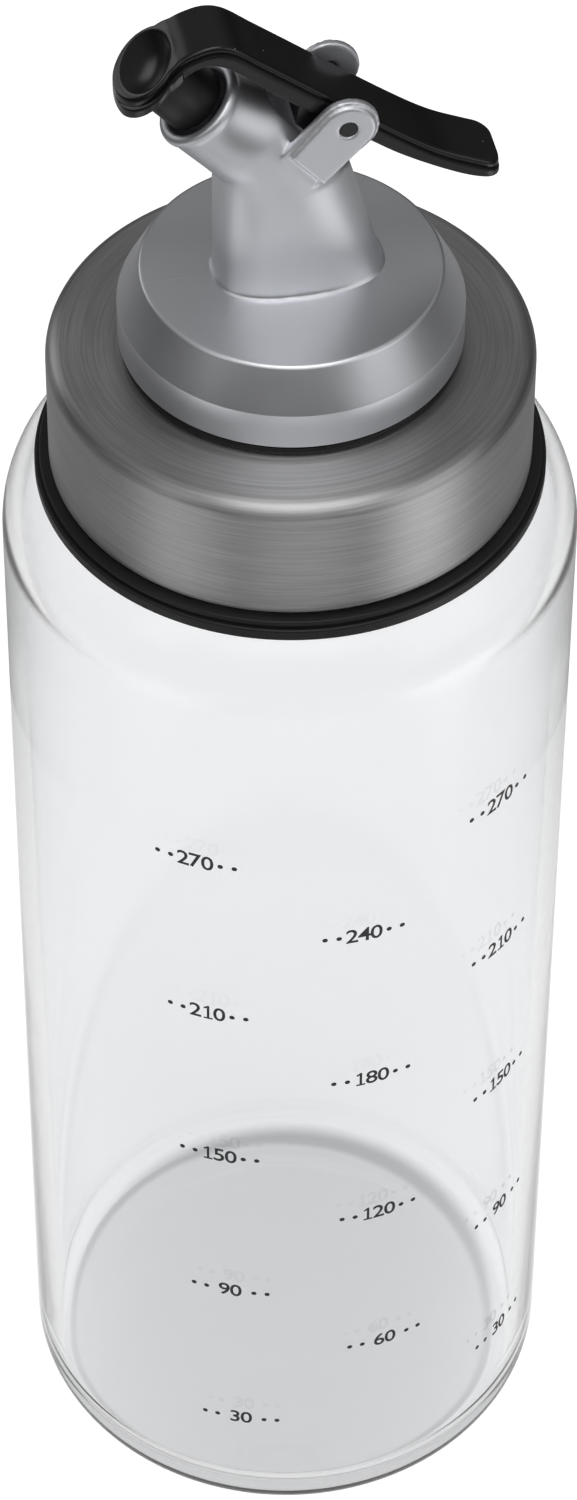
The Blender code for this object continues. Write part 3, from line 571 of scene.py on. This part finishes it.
# %% Places on the pourer
low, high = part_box("pourer_body")
STEM_FOOT_Z, DISC_R, STEM_H, DISC_H, STEM_R = low.z, high.x, 0.0126, 0.0089, 0.0080
DISC_Z, DISC_TOP_Z = STEM_FOOT_Z + STEM_H, STEM_FOOT_Z + STEM_H + DISC_H
LEAN = radians(40)
MOUTH = Vector((-0.0096, 0, DISC_TOP_Z + 0.02265))
AXIS, ACROSS = Vector((-sin(LEAN), 0, cos(LEAN))), Vector((cos(LEAN), 0, sin(LEAN)))
SPOUT = Matrix.Translation(MOUTH) @ Matrix.Rotation(-LEAN, 4, "Y")
PIVOT_RISE, PIVOT_HEIGHT = 0.00965, -0.0104
PIVOT = MOUTH + ACROSS * PIVOT_RISE + AXIS * PIVOT_HEIGHT
MOUTH_R, SPOUT_R, SHIFT = 0.0036, 0.0052, 0.0008
EAR_IN, EAR_STEP, EAR_OUT = 0.00405, 0.00485, 0.0053
PIN_HOLE_R = 0.0009
print("mouth mm:", [round(c / MM, 2) for c in MOUTH], "pivot mm:", [round(c / MM, 2) for c in PIVOT])

# %% [markdown]
# ### Joining pieces
# Overlapping pieces are joined and cut by the Boolean modifier, one after the other. A fine voxel
# remesh then grows them together, because a moulding has no dead-sharp inner corners. Bevels on the
# seams would be lighter, but they fail where three curved surfaces meet.

# %% Boolean and remesh helpers
def as_object(bm, name="tool"):
    mesh = bpy.data.meshes.new(name)
    bm.to_mesh(mesh)
    bm.free()
    made = bpy.data.objects.new(name, mesh)
    scene.collection.objects.link(made)
    return made


def as_bmesh(made):
    """The object's mesh with its modifiers applied; the object is used up."""
    bpy.context.view_layer.update()
    mesh = bpy.data.meshes.new_from_object(made.evaluated_get(bpy.context.evaluated_depsgraph_get()))
    bm = bmesh.new()
    bm.from_mesh(mesh)
    bpy.data.objects.remove(made)
    bpy.data.meshes.remove(mesh)
    return bm


def combined(first, operation, *others):
    """first joined with the others (UNION), or with the others cut out of it (DIFFERENCE)."""
    for other in others:
        target, tool = as_object(first), as_object(other)
        step = target.modifiers.new("combine", "BOOLEAN")
        step.solver, step.operation, step.object = "EXACT", operation, tool
        first = as_bmesh(target)
        bpy.data.objects.remove(tool)
    return first


def grown_together(bm, voxel, rounds):
    """Voxel remesh that rounds every edge a little, then evens out the voxels' steps."""
    made = as_object(bm)
    step = made.modifiers.new("remesh", "REMESH")
    step.mode, step.voxel_size, step.use_smooth_shade = "VOXEL", voxel, True
    bm = as_bmesh(made)
    for _ in range(rounds):
        bmesh.ops.smooth_vert(bm, verts=bm.verts, factor=0.5, use_axis_x=True, use_axis_y=True,
                              use_axis_z=True)
    return bm


# %% [markdown]
# ### Column and spout
# Three runs of sections make one skin: a foot with a small fillet and a column that narrows, a smooth
# bend in which the boxy section turns round, and the spout with a collar and a rounded lip.

# %% Column and spout skin
RING = 96


def box_ring(front, back, half, front_square, back_square):
    """Section between two points of the middle plane. Squareness 2 is round, more is boxier."""
    middle, reach = (front + back) / 2, (back - front) / 2
    ring = []
    for i in range(RING):
        c, s = cos(tau * (i + 0.5) / RING), sin(tau * (i + 0.5) / RING)
        power = 2 / (back_square if c > 0 else front_square)
        point = middle + reach * copysign(abs(c) ** power, c)
        ring.append(Vector((point.x, half * copysign(abs(s) ** power, s), point.z)))
    return ring


def spout_ring(height, shift, radius):
    return [SPOUT @ Vector((radius * cos(tau * (i + 0.5) / RING) + shift,
                            radius * sin(tau * (i + 0.5) / RING), height)) for i in range(RING)]


def column_and_spout():
    left, right, top_right, front_h, back_h = -0.0079, 0.0091, 0.0054, 0.0112, 0.0139
    rings = []
    fillet = 0.0004
    foot = [(-fillet, fillet)] + [(fillet - fillet * cos(radians(a)), fillet - fillet * sin(radians(a)))
                                  for a in range(0, 91, 15)]
    for z, flare in foot:
        rings.append(box_ring(Vector((left - flare, 0, DISC_TOP_Z + z)),
                              Vector((right + flare, 0, DISC_TOP_Z + z)), SPOUT_R + flare, 2.6, 2.5))
    for k in range(1, 11):
        share = k / 10
        front = Vector((left, 0, DISC_TOP_Z + front_h * share))
        back = Vector((right + (top_right - right) * share, 0, DISC_TOP_Z + back_h * share))
        rings.append(box_ring(front, back, SPOUT_R, 2.6 - 0.3 * share, 2.5 - 0.3 * share))
    start = -0.0078
    end_front, end_back = (SPOUT @ Vector((SHIFT + s * SPOUT_R, 0, start)) for s in (-1, 1))
    corner = Vector((front.x, 0, end_front.z + (end_front.x - front.x) / tan(LEAN)))
    for k in range(1, 16):
        share, rest = k / 16, 1 - k / 16
        low = front * rest ** 2 + corner * 2 * share * rest + end_front * share ** 2
        rings.append(box_ring(low, back * rest + end_back * share, SPOUT_R,
                              2.3 * rest + 2 * share, 2.2 * rest + 2 * share))
    lip_r = MOUTH_R + 0.00065
    collar_r = lip_r + 0.0005
    neck_r = collar_r - 0.0002
    stations = [(start, SHIFT, SPOUT_R), (-0.0065, SHIFT, SPOUT_R)]
    for k in range(1, 13):
        share = 0.5 - 0.5 * cos(pi * k / 12)
        stations.append((-0.0065 + (0.0055 * k / 12), SHIFT * (1 - share),
                         SPOUT_R + (neck_r - SPOUT_R) * share))
    stations += [(-0.00095, 0, collar_r - 0.00008), (-0.00085, 0, collar_r), (-0.0004, 0, collar_r)]
    stations += [(-0.0004 + 0.0004 * sin(radians(a)), 0, lip_r + 0.0005 * cos(radians(a)))
                 for a in (20, 40, 60, 80)]
    rings += [spout_ring(*station) for station in stations] + [spout_ring(0.0, 0, lip_r)]
    return pulled(rings)


skin = column_and_spout()
print("skin faces", len(skin.faces))

# %% [markdown]
# ### Ears
# Each ear is two plates: a wide one, and a narrower one on its outside that leaves a step along the
# edge. The sides of an ear are tangents from its foot to the round end.

# %% Ears
def ear_outline(radius, down, up, foot_rise, steps=28):
    """Side outline of an ear, in the spout's (rise, height) axes: a foot and a round end."""
    ends = []
    for height, sign in ((PIVOT_HEIGHT + up, 1), (PIVOT_HEIGHT - down, -1)):
        away = Vector((foot_rise - PIVOT_RISE, height - PIVOT_HEIGHT))
        bearing = Vector((1, 0)).angle_signed(away) * -1
        ends.append(((foot_rise, height), bearing - sign * acos(radius / away.length)))
    (high_foot, start), (low_foot, end) = ends
    if end > start:
        end -= tau
    round_end = [(PIVOT_RISE + radius * cos(a), PIVOT_HEIGHT + radius * sin(a))
                 for a in (start + (end - start) * i / steps for i in range(steps + 1))]
    return [high_foot] + round_end + [low_foot]


def plate(outline, inner, outer, side):
    return pulled([[SPOUT @ Vector((rise, side * y, height)) for rise, height in outline]
                   for y in (inner, outer)])


ears = []
for side in (-1, 1):
    ears.append(plate(ear_outline(0.00315, 0.0032, 0.0019, 0.0010), EAR_IN, EAR_STEP, side))
    ears.append(plate(ear_outline(0.0027, 0.0035, 0.0016, 0.0036), EAR_STEP - 0.0002, EAR_OUT, side))
print("ear plates", len(ears))

# %% [markdown]
# ### Openings
# A pocket between the ears lets the lever swing, a channel carries the oil from the stem up to the
# mouth, and a hole through both ears takes the pin. Each one is a solid that is cut out. The narrow
# air channel beside the oil channel is only in the CAD solid.

# %% Cutters
def round_rod(radius, low, high, place, steps=48):
    return pulled([[place @ Vector((radius * cos(tau * i / steps), radius * sin(tau * i / steps), z))
                    for i in range(steps)] for z in (low, high)])


half = EAR_IN - 0.00005
pocket_outline = list(arc((0.0, -0.0085), half, 0, 180, 32)) + [(-half, -0.0300), (half, -0.0300)]
pocket = pulled([[SPOUT @ Vector((rise, y, s)) for y, s in pocket_outline] for rise in (0.00535, 0.0080)])
BORE_X, BORE_R = -0.0018, 0.00375
bend = MOUTH - AXIS * ((BORE_X - MOUTH.x) / sin(LEAN))
slope = sin(LEAN) / (1 + cos(LEAN))
unit = [(cos(tau * (i + 0.5) / 64), sin(tau * (i + 0.5) / 64)) for i in range(64)]
channel_rings = [[Vector((BORE_X + BORE_R * c, BORE_R * s, STEM_FOOT_Z - 0.001)) for c, s in unit],
                 [Vector((BORE_X + BORE_R * c, BORE_R * s, bend.z + slope * BORE_R * c)) for c, s in unit]]
for r, z in ((BORE_R, -0.0008), (MOUTH_R, -0.0003), (MOUTH_R + 0.00025, 0.0), (MOUTH_R + 0.0006, 0.001)):
    channel_rings.append([SPOUT @ Vector((r * c, r * s, z)) for c, s in unit])
channel = pulled(channel_rings)
across_hinge = Matrix.Translation((PIVOT.x, 0, PIVOT.z)) @ Matrix.Rotation(radians(90), 4, "X")
pin_hole = round_rod(PIN_HOLE_R, -0.008, 0.008, across_hinge)
print("cutters", 3)

# %% Cut and grow together
VOXEL, EVENING = 0.000173, 3
head = combined(skin, "UNION", *ears)
head = combined(head, "DIFFERENCE", pocket, channel, pin_hole)
head = grown_together(head, VOXEL, EVENING)
print("column, spout and ears, faces", len(head.faces))

# %% [markdown]
# ### Disc and stem
# The disc's rim has three bands: an upright side, a slope and a narrow bright fillet at the top edge.
# The disc and the head overlap and stay two shells in one piece, so the disc keeps its clean edges.

# %% Disc and stem
fillet, DISC_TOP_R = 0.0006, 0.01545
outline = [(0.0, STEM_FOOT_Z), (0.0075, STEM_FOOT_Z), (STEM_R, STEM_FOOT_Z + 0.0005), (STEM_R, DISC_Z)]
outline += arc((DISC_R - 0.0003, DISC_Z + 0.0003), 0.0003, -90, 0, 5)
outline += arc((DISC_R - 0.0003, DISC_Z + 0.0043), 0.0003, 0, 30, 4)
outline += arc((DISC_TOP_R - fillet, DISC_TOP_Z - fillet), fillet, 25, 90, 6)
outline += [(0.0120, DISC_TOP_Z), (0.0, DISC_TOP_Z)]
disc = spun(outline, closed=False)
disc = combined(disc, "DIFFERENCE", round_rod(BORE_R, STEM_FOOT_Z - 0.001, DISC_TOP_Z + 0.001,
                                              Matrix.Translation((BORE_X, 0, 0)), 64))
finished("pourer", merged(disc, head), silver_plastic, "cap_turn", ["pourer_body"],
         sharp=50)

# %% [markdown]
# ## The lever
# A long black moulding: an oval finger pad over the mouth, a hump, and a straight arm with a slight
# upward curl at its tail. It is pulled through sections along its length, as a boat's hull is lofted.
# Each section has a skirt, a small ledge and a crown with soft corners. Two curves, the top and the
# foot seen from the side, and the half width seen from above give every section its size.

# %% Lever outlines
LEVER_TOP = ((-0.0023, 0.00785), (-0.0008, 0.00865), (0.0014, 0.00915), (0.0033, 0.0086),
             (0.0060, 0.00645), (0.0110, 0.0024), (0.0155, -0.0013), (0.0211, -0.0057),
             (0.0241, -0.00775), (0.0272, -0.0093), (0.0300, -0.01055))
LEVER_FOOT = ((-0.0023, 0.00560), (-0.0012, 0.00655), (0.0006, 0.00725), (0.0029, 0.00635),
              (0.0071, 0.00265), (0.0116, -0.00095), (0.0164, -0.00465), (0.0196, -0.00705),
              (0.0237, -0.00955), (0.0272, -0.01125), (0.0300, -0.0119))
TILT, HEAD_RISE, HEAD_HALF, HEAD_REACH, HEAD_T = radians(40), 0.0075, 0.00445, 0.0040, 0.0013
CROWN_HALF, SKIRT_OUT, CROWN_H, TAIL_ROUND = 0.00335, 0.00035, 0.00075, 0.0016
HEAD_X, HEAD_Z = -HEAD_RISE * sin(TILT), HEAD_RISE * cos(TILT)
HEAD_HALF_X, HEAD_DROP = HEAD_REACH * cos(TILT), HEAD_T / cos(TILT)
NECK_X, TAIL_X = HEAD_X + 0.55 * HEAD_HALF_X, LEVER_TOP[-1][0]
LEVER = Matrix.Translation(MOUTH)
print("lever reach mm:", round((TAIL_X - HEAD_X + HEAD_HALF_X) / MM, 1))


def smooth_height(x, points):
    """Height of a smooth curve through points sorted by x."""
    last = len(points) - 1
    k = max(i for i in range(last) if points[i][0] <= x or i == 0)
    p0, p1, p2, p3 = (points[min(max(j, 0), last)] for j in (k - 1, k, k + 1, k + 2))
    t = (x - p1[0]) / (p2[0] - p1[0])
    m1 = (p2[1] - p0[1]) / (p2[0] - p0[0]) * (p2[0] - p1[0])
    m2 = (p3[1] - p1[1]) / (p3[0] - p1[0]) * (p2[0] - p1[0])
    return ((2 * t ** 3 - 3 * t ** 2 + 1) * p1[1] + (t ** 3 - 2 * t ** 2 + t) * m1
            + (3 * t ** 2 - 2 * t ** 3) * p2[1] + (t ** 3 - t ** 2) * m2)


def head_top(x):
    return HEAD_Z + (x - HEAD_X) * tan(TILT)


def lever_top(x):
    return smooth_height(x, LEVER_TOP) if x > LEVER_TOP[0][0] else head_top(x)


def lever_foot(x):
    start, foot = LEVER_FOOT[0]
    if x >= start:
        return smooth_height(x, LEVER_FOOT)
    share = max(0.0, 1 - (start - x) / 0.0015)
    return head_top(x) - HEAD_DROP + share * (foot - head_top(start) + HEAD_DROP)


def lever_half(x):
    """Half width of the crown: an oval head, a straight arm and a rounded tail."""
    if x < NECK_X:
        return HEAD_HALF * sqrt(max(0.0, 1 - ((x - HEAD_X) / HEAD_HALF_X) ** 2))
    neck_half = HEAD_HALF * sqrt(1 - 0.55 ** 2)
    share = min(1.0, (x - NECK_X) / 0.0016)
    half = neck_half + (CROWN_HALF - neck_half) * (3 * share ** 2 - 2 * share ** 3)
    into = max(0.0, x - (TAIL_X - TAIL_ROUND))
    return half - TAIL_ROUND + sqrt(max(0.0, TAIL_ROUND ** 2 - into ** 2))


# %% Lever sections
def lever_section(x, across=28):
    """Right half of a section from the foot up to the crown's middle, then mirrored."""
    half, top, foot = lever_half(x), lever_top(x), lever_foot(x)
    small = min(1.0, half / 0.002)
    skirt = half + SKIRT_OUT * small + (0.0003 * small if x < HEAD_X + HEAD_HALF_X else 0.0)
    step = top - CROWN_H
    bend = min(0.0004, 0.5 * half)
    soft = 0.00012 * small
    side = [(skirt - soft, foot), (skirt - 0.3 * soft, foot + 0.3 * soft), (skirt, foot + soft)]
    side += [(skirt, foot + (step - soft - foot) * s) for s in (0.35, 0.7)]
    side += [(skirt, step - soft), (skirt - 0.3 * soft, step - 0.3 * soft), (skirt - soft, step)]
    side += [(half, step - 0.00004), (half, step + 0.0001)]
    side += [(half - bend + bend * cos(radians(a)), top - bend + bend * sin(radians(a)))
             for a in (0, 15, 30, 45, 60, 75, 90)]
    side += [((half - bend) * (1 - s / across), top) for s in range(1, across)]
    side += [(0.0, top)]
    right = [Vector((x, y, z)) for y, z in side]
    left = [Vector((x, -y, z)) for y, z in reversed(side[:-1])]
    bottom = [Vector((x, -side[0][0] * s, foot)) for s in (0.6, 0.2, -0.2, -0.6)]
    return right + left + bottom


# %% Pull the lever
stations = [HEAD_X - HEAD_HALF_X * cos(radians(2 + 4 * i)) for i in range(31)]
straight = TAIL_X - TAIL_ROUND
stations += [stations[-1] + (straight - stations[-1]) * i / 150 for i in range(1, 151)]
stations += [TAIL_X - TAIL_ROUND * (1 - sin(radians(a))) for a in range(8, 89, 8)]
arm = pulled([[LEVER @ point for point in lever_section(x)] for x in stations])
print("lever skin faces", len(arm.faces))

# %% [markdown]
# ### The finger pad
# The pad is pressed in by moving the points inside an oval down. A square root in the formula rounds
# the press's edge, and a very low lip stands round it, as a moulded dish has.

# %% Press the finger pad in
PAD_HALF, PAD_REACH, PAD_DEPTH, PAD_LIP = 0.0039, 0.0031, 0.0009, 0.00005
to_head = SPOUT.inverted()
for v in arm.verts:
    p = to_head @ v.co
    if p.z < HEAD_RISE - 0.0004:
        continue
    inside = 1 - (p.x / PAD_REACH) ** 2 - (p.y / PAD_HALF) ** 2
    depth = PAD_DEPTH * 0.5 * (inside + sqrt(inside ** 2 + 0.01))
    if inside > -0.6:
        p.z += PAD_LIP * exp(-(inside / 0.2) ** 2) - min(depth, max(0.0, p.z - HEAD_RISE + depth))
        v.co = SPOUT @ p
print("pad mm:", [round(2 * c / MM, 1) for c in (PAD_REACH, PAD_HALF)])

# %% [markdown]
# ### The lever's underside
# A moulding has even walls, so the arm is hollow from below. A lug takes the pin, a web beside it
# closes the view between the side walls, and a stud under the head holds the stopper.

# %% Hollow the lever
LEVER_WALL, UNDER_HEAD = 0.0009, HEAD_RISE - HEAD_T
low_x, high_x = LEVER_FOOT[2][0] - 0.0005, TAIL_X - 1.4 * LEVER_WALL
inner_half = CROWN_HALF + SKIRT_OUT - LEVER_WALL
hollow_rings = []
for i in range(60):
    x = low_x + (high_x - low_x) * i / 59
    roof, foot = lever_top(x) - 0.0010, lever_foot(x) - 0.0010
    hollow_rings.append([LEVER @ Vector(p) for p in ((x, -inner_half, foot), (x, inner_half, foot),
                                                     (x, inner_half, roof), (x, -inner_half, roof))])
arm = combined(arm, "DIFFERENCE", pulled(hollow_rings),
               round_rod(MOUTH_R, 0.0, UNDER_HEAD, SPOUT))
print("hollow lever, faces", len(arm.faces))

# %% Lug, web and stud
LUG_R, STUD_R, STUD_H = 0.0022, 0.0011, 0.0024
local = LEVER.inverted() @ PIVOT
fall = atan2(lever_top(local.x + 0.001) - lever_top(local.x - 0.001), 0.002)
lug_place = LEVER @ Matrix.Translation(local) @ Matrix.Rotation(-fall, 4, "Y")
lug_outline = list(arc((0, 0), LUG_R, -194, 14, 28))
lug_half = CROWN_HALF + SKIRT_OUT - 0.0001
lug = pulled([[lug_place @ Vector((x, y, z)) for x, z in lug_outline] for y in (-lug_half, lug_half)])
web_outline = ((0.0079, -0.0056), (0.0060, -0.0072), (0.0060, -0.0095), (0.0076, -0.0110),
               (PIVOT_RISE, PIVOT_HEIGHT), (0.0095, -0.0060))
web = pulled([[SPOUT @ Vector((rise, y, height)) for rise, height in web_outline] for y in (-0.0033, 0.0033)])
stud = round_rod(STUD_R, UNDER_HEAD - STUD_H, UNDER_HEAD + 0.0004, SPOUT, 32)
arm = combined(arm, "UNION", lug, web, stud)
arm = combined(arm, "DIFFERENCE", round_rod(PIN_HOLE_R, -0.008, 0.008, across_hinge))
finished("pour_lever", arm, black_plastic, "lever", ["lever"], sharp=40)

# %% [markdown]
# ## The stopper
# A soft dark plug pushed on the stud under the pad. Its round end shuts the mouth. It is spun upright
# and then laid along the spout's axis.

# %% Stopper
plug_top, plug_r, hole_r = UNDER_HEAD - 0.00005, MOUTH_R - 0.0003, STUD_R + 0.00005
outline = [(0.0, -0.0019), (0.0003, -0.00188), (0.0006, -0.0016), (plug_r - 0.0002, -0.0001),
           (plug_r, 0.0002), (plug_r, plug_top - 0.0003), (plug_r - 0.0003, plug_top), (hole_r, plug_top),
           (hole_r, plug_top - STUD_H), (0.0, plug_top - STUD_H)]
plug = spun(outline, steps=96, closed=False)
plug.transform(SPOUT)
finished("stopper_plug", plug, black_rubber, "lever", ["stopper"])

# %% [markdown]
# ## The hinge pin
# A short dark rod through both ears and the lever's lug. Its ends sit a little below the ears' faces,
# so the holes show as dark rings.

# %% Hinge pin
PIN_R, PIN_END = 0.00087, 0.0052
outline = [(0.0, -PIN_END), (PIN_R - 0.0001, -PIN_END), (PIN_R, 0.0001 - PIN_END),
           (PIN_R, PIN_END - 0.0001), (PIN_R - 0.0001, PIN_END), (0.0, PIN_END)]
rod = spun(outline, steps=48, closed=False)
rod.transform(across_hinge)
finished("pivot_pin", rod, pin_metal, "cap_turn", ["hinge_pin"])

# %% [markdown]
# ## The inner pieces
# The liner, washer, nut and vent tube keep their CAD shape and get their finishes.

# %% Finishes for the CAD nodes
for node, look in (("cap_liner", white_plastic), ("lip_washer", grey_silicone),
                   ("stem_nut", white_plastic), ("vent_tube", white_plastic)):
    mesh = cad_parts[node].data
    mesh.materials.clear()
    mesh.materials.append(look)
    print(node, "gets", look.name)

# %% [markdown]
# ## The floor
# The photograph is cut out on pure white, so the floor is white to the camera. It is darker to the
# rays that pass through the glass or bounce off it, and it still takes the object's shadow. The Light
# Path node tells those rays apart.

# %% Floor
floor_mesh = bmesh.new()
bmesh.ops.create_grid(floor_mesh, x_segments=1, y_segments=1, size=6.0)
floor = as_object(floor_mesh, "floor")
floor.location.z = -0.0002
floor_look, tree, shader, place = new_material("floor", Base_Color=(0.9, 0.9, 0.9, 1), Roughness=1.0,
                                               Emission_Color=(1, 1, 1, 1))
print("floor faces", len(floor.data.polygons))

# %% [markdown]
# ### Shade under the bottle
# A glass foot shows the floor under it, which the bottle itself keeps in shade: an even grey field
# with a darker ring round it where the heel touches down, widest on the far side. A traced shadow of
# refracting glass would be full of noise, so the shade is drawn with soft-edged circles.

# %% Shade under the bottle
def circle(bearing, shift, radius, blur):
    """1 inside a soft-edged circle whose centre lies off the bottle's axis."""
    centre = (shift * cos(radians(bearing)), shift * sin(radians(bearing)), 0)
    apart = add_node(tree, "VectorMath", {"operation": "DISTANCE"}, i0=place, i1=centre).outputs["Value"]
    return ramp(tree, apart, radius - blur, radius + blur, 1.0, 0.0)


field = circle(168, 0.0009, 0.0256, 0.0006)
ring = math_node(tree, "SUBTRACT", circle(168, 0.0009, 0.0271, 0.0005),
                 circle(168, 0.0009, 0.0252, 0.0009))
cast = larger(tree, circle(72, 0.0022, 0.0264, 0.0020), times(tree, ring, 0.95))
cast = larger(tree, cast, times(tree, circle(258, 0.0022, 0.0290, 0.0010), 0.35))
shade = mix_value(tree, field, mix_value(tree, cast, 1.0, 0.45), 0.70)
print("shade under the bottle ready")

# %% [markdown]
# ### What each kind of ray sees
# Through the glass the floor is light grey near the bottle and paler far away. Soft reflections in
# metal and plastic hardly see it, because the lamps give them their shape. The smooth glass wall is a
# sharp mirror at a slant, and there the floor near the bottle is bright, which keeps the rims light.

# %% Brightness of the floor
rays = tree.nodes.new("ShaderNodeLightPath").outputs
away = add_node(tree, "VectorMath", {"operation": "LENGTH"}, i0=place).outputs["Value"]
near = times(tree, ramp(tree, away, 0.25, 0.9, 1.0, 0.2), shade)
through = larger(tree, times(tree, near, 0.59), times(tree, math_node(tree, "SUBTRACT", shade, near), 0.9))
sharp_mirror = times(tree, rays["Is Singular Ray"], rays["Is Glossy Ray"])
beside = times(tree, shade, ramp(tree, away, 0.07, 0.155, 0.6, 0.0))
seen = times(tree, rays["Is Transmission Ray"], through)
for kind, brightness in ((rays["Is Glossy Ray"], 0.02), (sharp_mirror, beside),
                         (rays["Is Camera Ray"], 0.80)):
    seen = larger(tree, seen, times(tree, kind, brightness))
lit = mix_colour(tree, larger(tree, near, rays["Is Camera Ray"]), (0, 0, 0, 1), (0.68, 0.68, 0.68, 1))
feed(tree, shader, Emission_Strength=seen, Base_Color=lit)
floor.data.materials.append(floor_look)
print("material", floor_look.name)

# %% [markdown]
# ## Sky and lamps
# The sky is white to the camera, light grey through the glass and dim to everything else, a little
# lighter overhead. A large soft box above and in front is the main light. Four more stand round the
# object and draw the bands on the disc and the cap. Three cards lie on the floor and shine up, as
# white paper does on a table. Every lamp's face fades to its edges, so that its mirror image has no
# hard outline, and no lamp is seen through the glass.

# %% Sky
world = bpy.data.worlds.new("studio")
world.use_nodes = True
tree = world.node_tree
toward = add_node(tree, "SeparateXYZ", Vector=tree.nodes.new("ShaderNodeTexCoord").outputs["Generated"])
dome = mix_value(tree, ramp(tree, toward.outputs[2], 0.05, 0.7), 0.03, 0.24)
rays = tree.nodes.new("ShaderNodeLightPath").outputs
dome = larger(tree, dome, times(tree, rays["Is Transmission Ray"], 0.6))
background = tree.nodes["Background"]
background.inputs["Color"].default_value = (1, 1, 1, 1)
tree.links.new(larger(tree, dome, rays["Is Camera Ray"]), background.inputs["Strength"])
scene.world = world
print("world", world.name)


# %% Soft boxes
def soft_box(name, place, aim, width, height, brightness):
    """An area lamp whose face looks as bright as the number given."""
    lamp = bpy.data.lights.new(name, "AREA")
    lamp.shape, lamp.size, lamp.size_y = "RECTANGLE", width, height
    lamp.energy = brightness * pi * width * height
    lamp.use_nodes = True
    tree = lamp.node_tree
    spot = add_node(tree, "SeparateXYZ", Vector=tree.nodes.new("ShaderNodeNewGeometry").outputs["Parametric"])
    sides = [times(tree, math_node(tree, "SUBTRACT", 1.0, spot.outputs[i]), spot.outputs[i]) for i in (0, 1)]
    fade = [ramp(tree, side, 0.0, 0.25) for side in sides]
    tree.links.new(times(tree, *fade), tree.nodes["Emission"].inputs["Strength"])
    made = bpy.data.objects.new(name, lamp)
    made.matrix_world = Matrix.Translation(place) @ \
        (Vector(aim) - Vector(place)).to_track_quat("-Z", "Y").to_matrix().to_4x4()
    made.visible_transmission = False
    scene.collection.objects.link(made)
    print("lamp", name, "watts", round(lamp.energy, 2))


def round_object(bearing, height, distance=0.65):
    """A place at a bearing round the object and a height above the floor."""
    return (distance * cos(radians(bearing)), distance * sin(radians(bearing)), height)


soft_box("top_box", round_object(268, 0.95, 0.22), (0, 0, 0.1), 0.80, 0.50, 3.2)
soft_box("front_box", round_object(258, 0.70, 0.53), (0, 0, 0.17), 1.00, 0.50, 1.0)
soft_box("left_box", round_object(206, 0.55), (0, 0, 0.15), 0.36, 0.60, 0.8)
soft_box("right_box", round_object(318, 0.42), (0, 0, 0.15), 0.70, 0.75, 0.95)
soft_box("far_left_box", round_object(126, 0.42, 0.75), (0, 0, 0.17), 0.44, 0.40, 1.2)

# %% Cards on the floor
for side, bearing, brightness in (("left", 210, 0.9), ("front", 262, 0.5), ("right", 317, 1.6)):
    card = round_object(bearing, 0.002, 0.27)
    soft_box(side + "_card", card, (card[0], card[1], 1), 0.24, 0.24, brightness)
scene.view_settings.view_transform = "Standard"
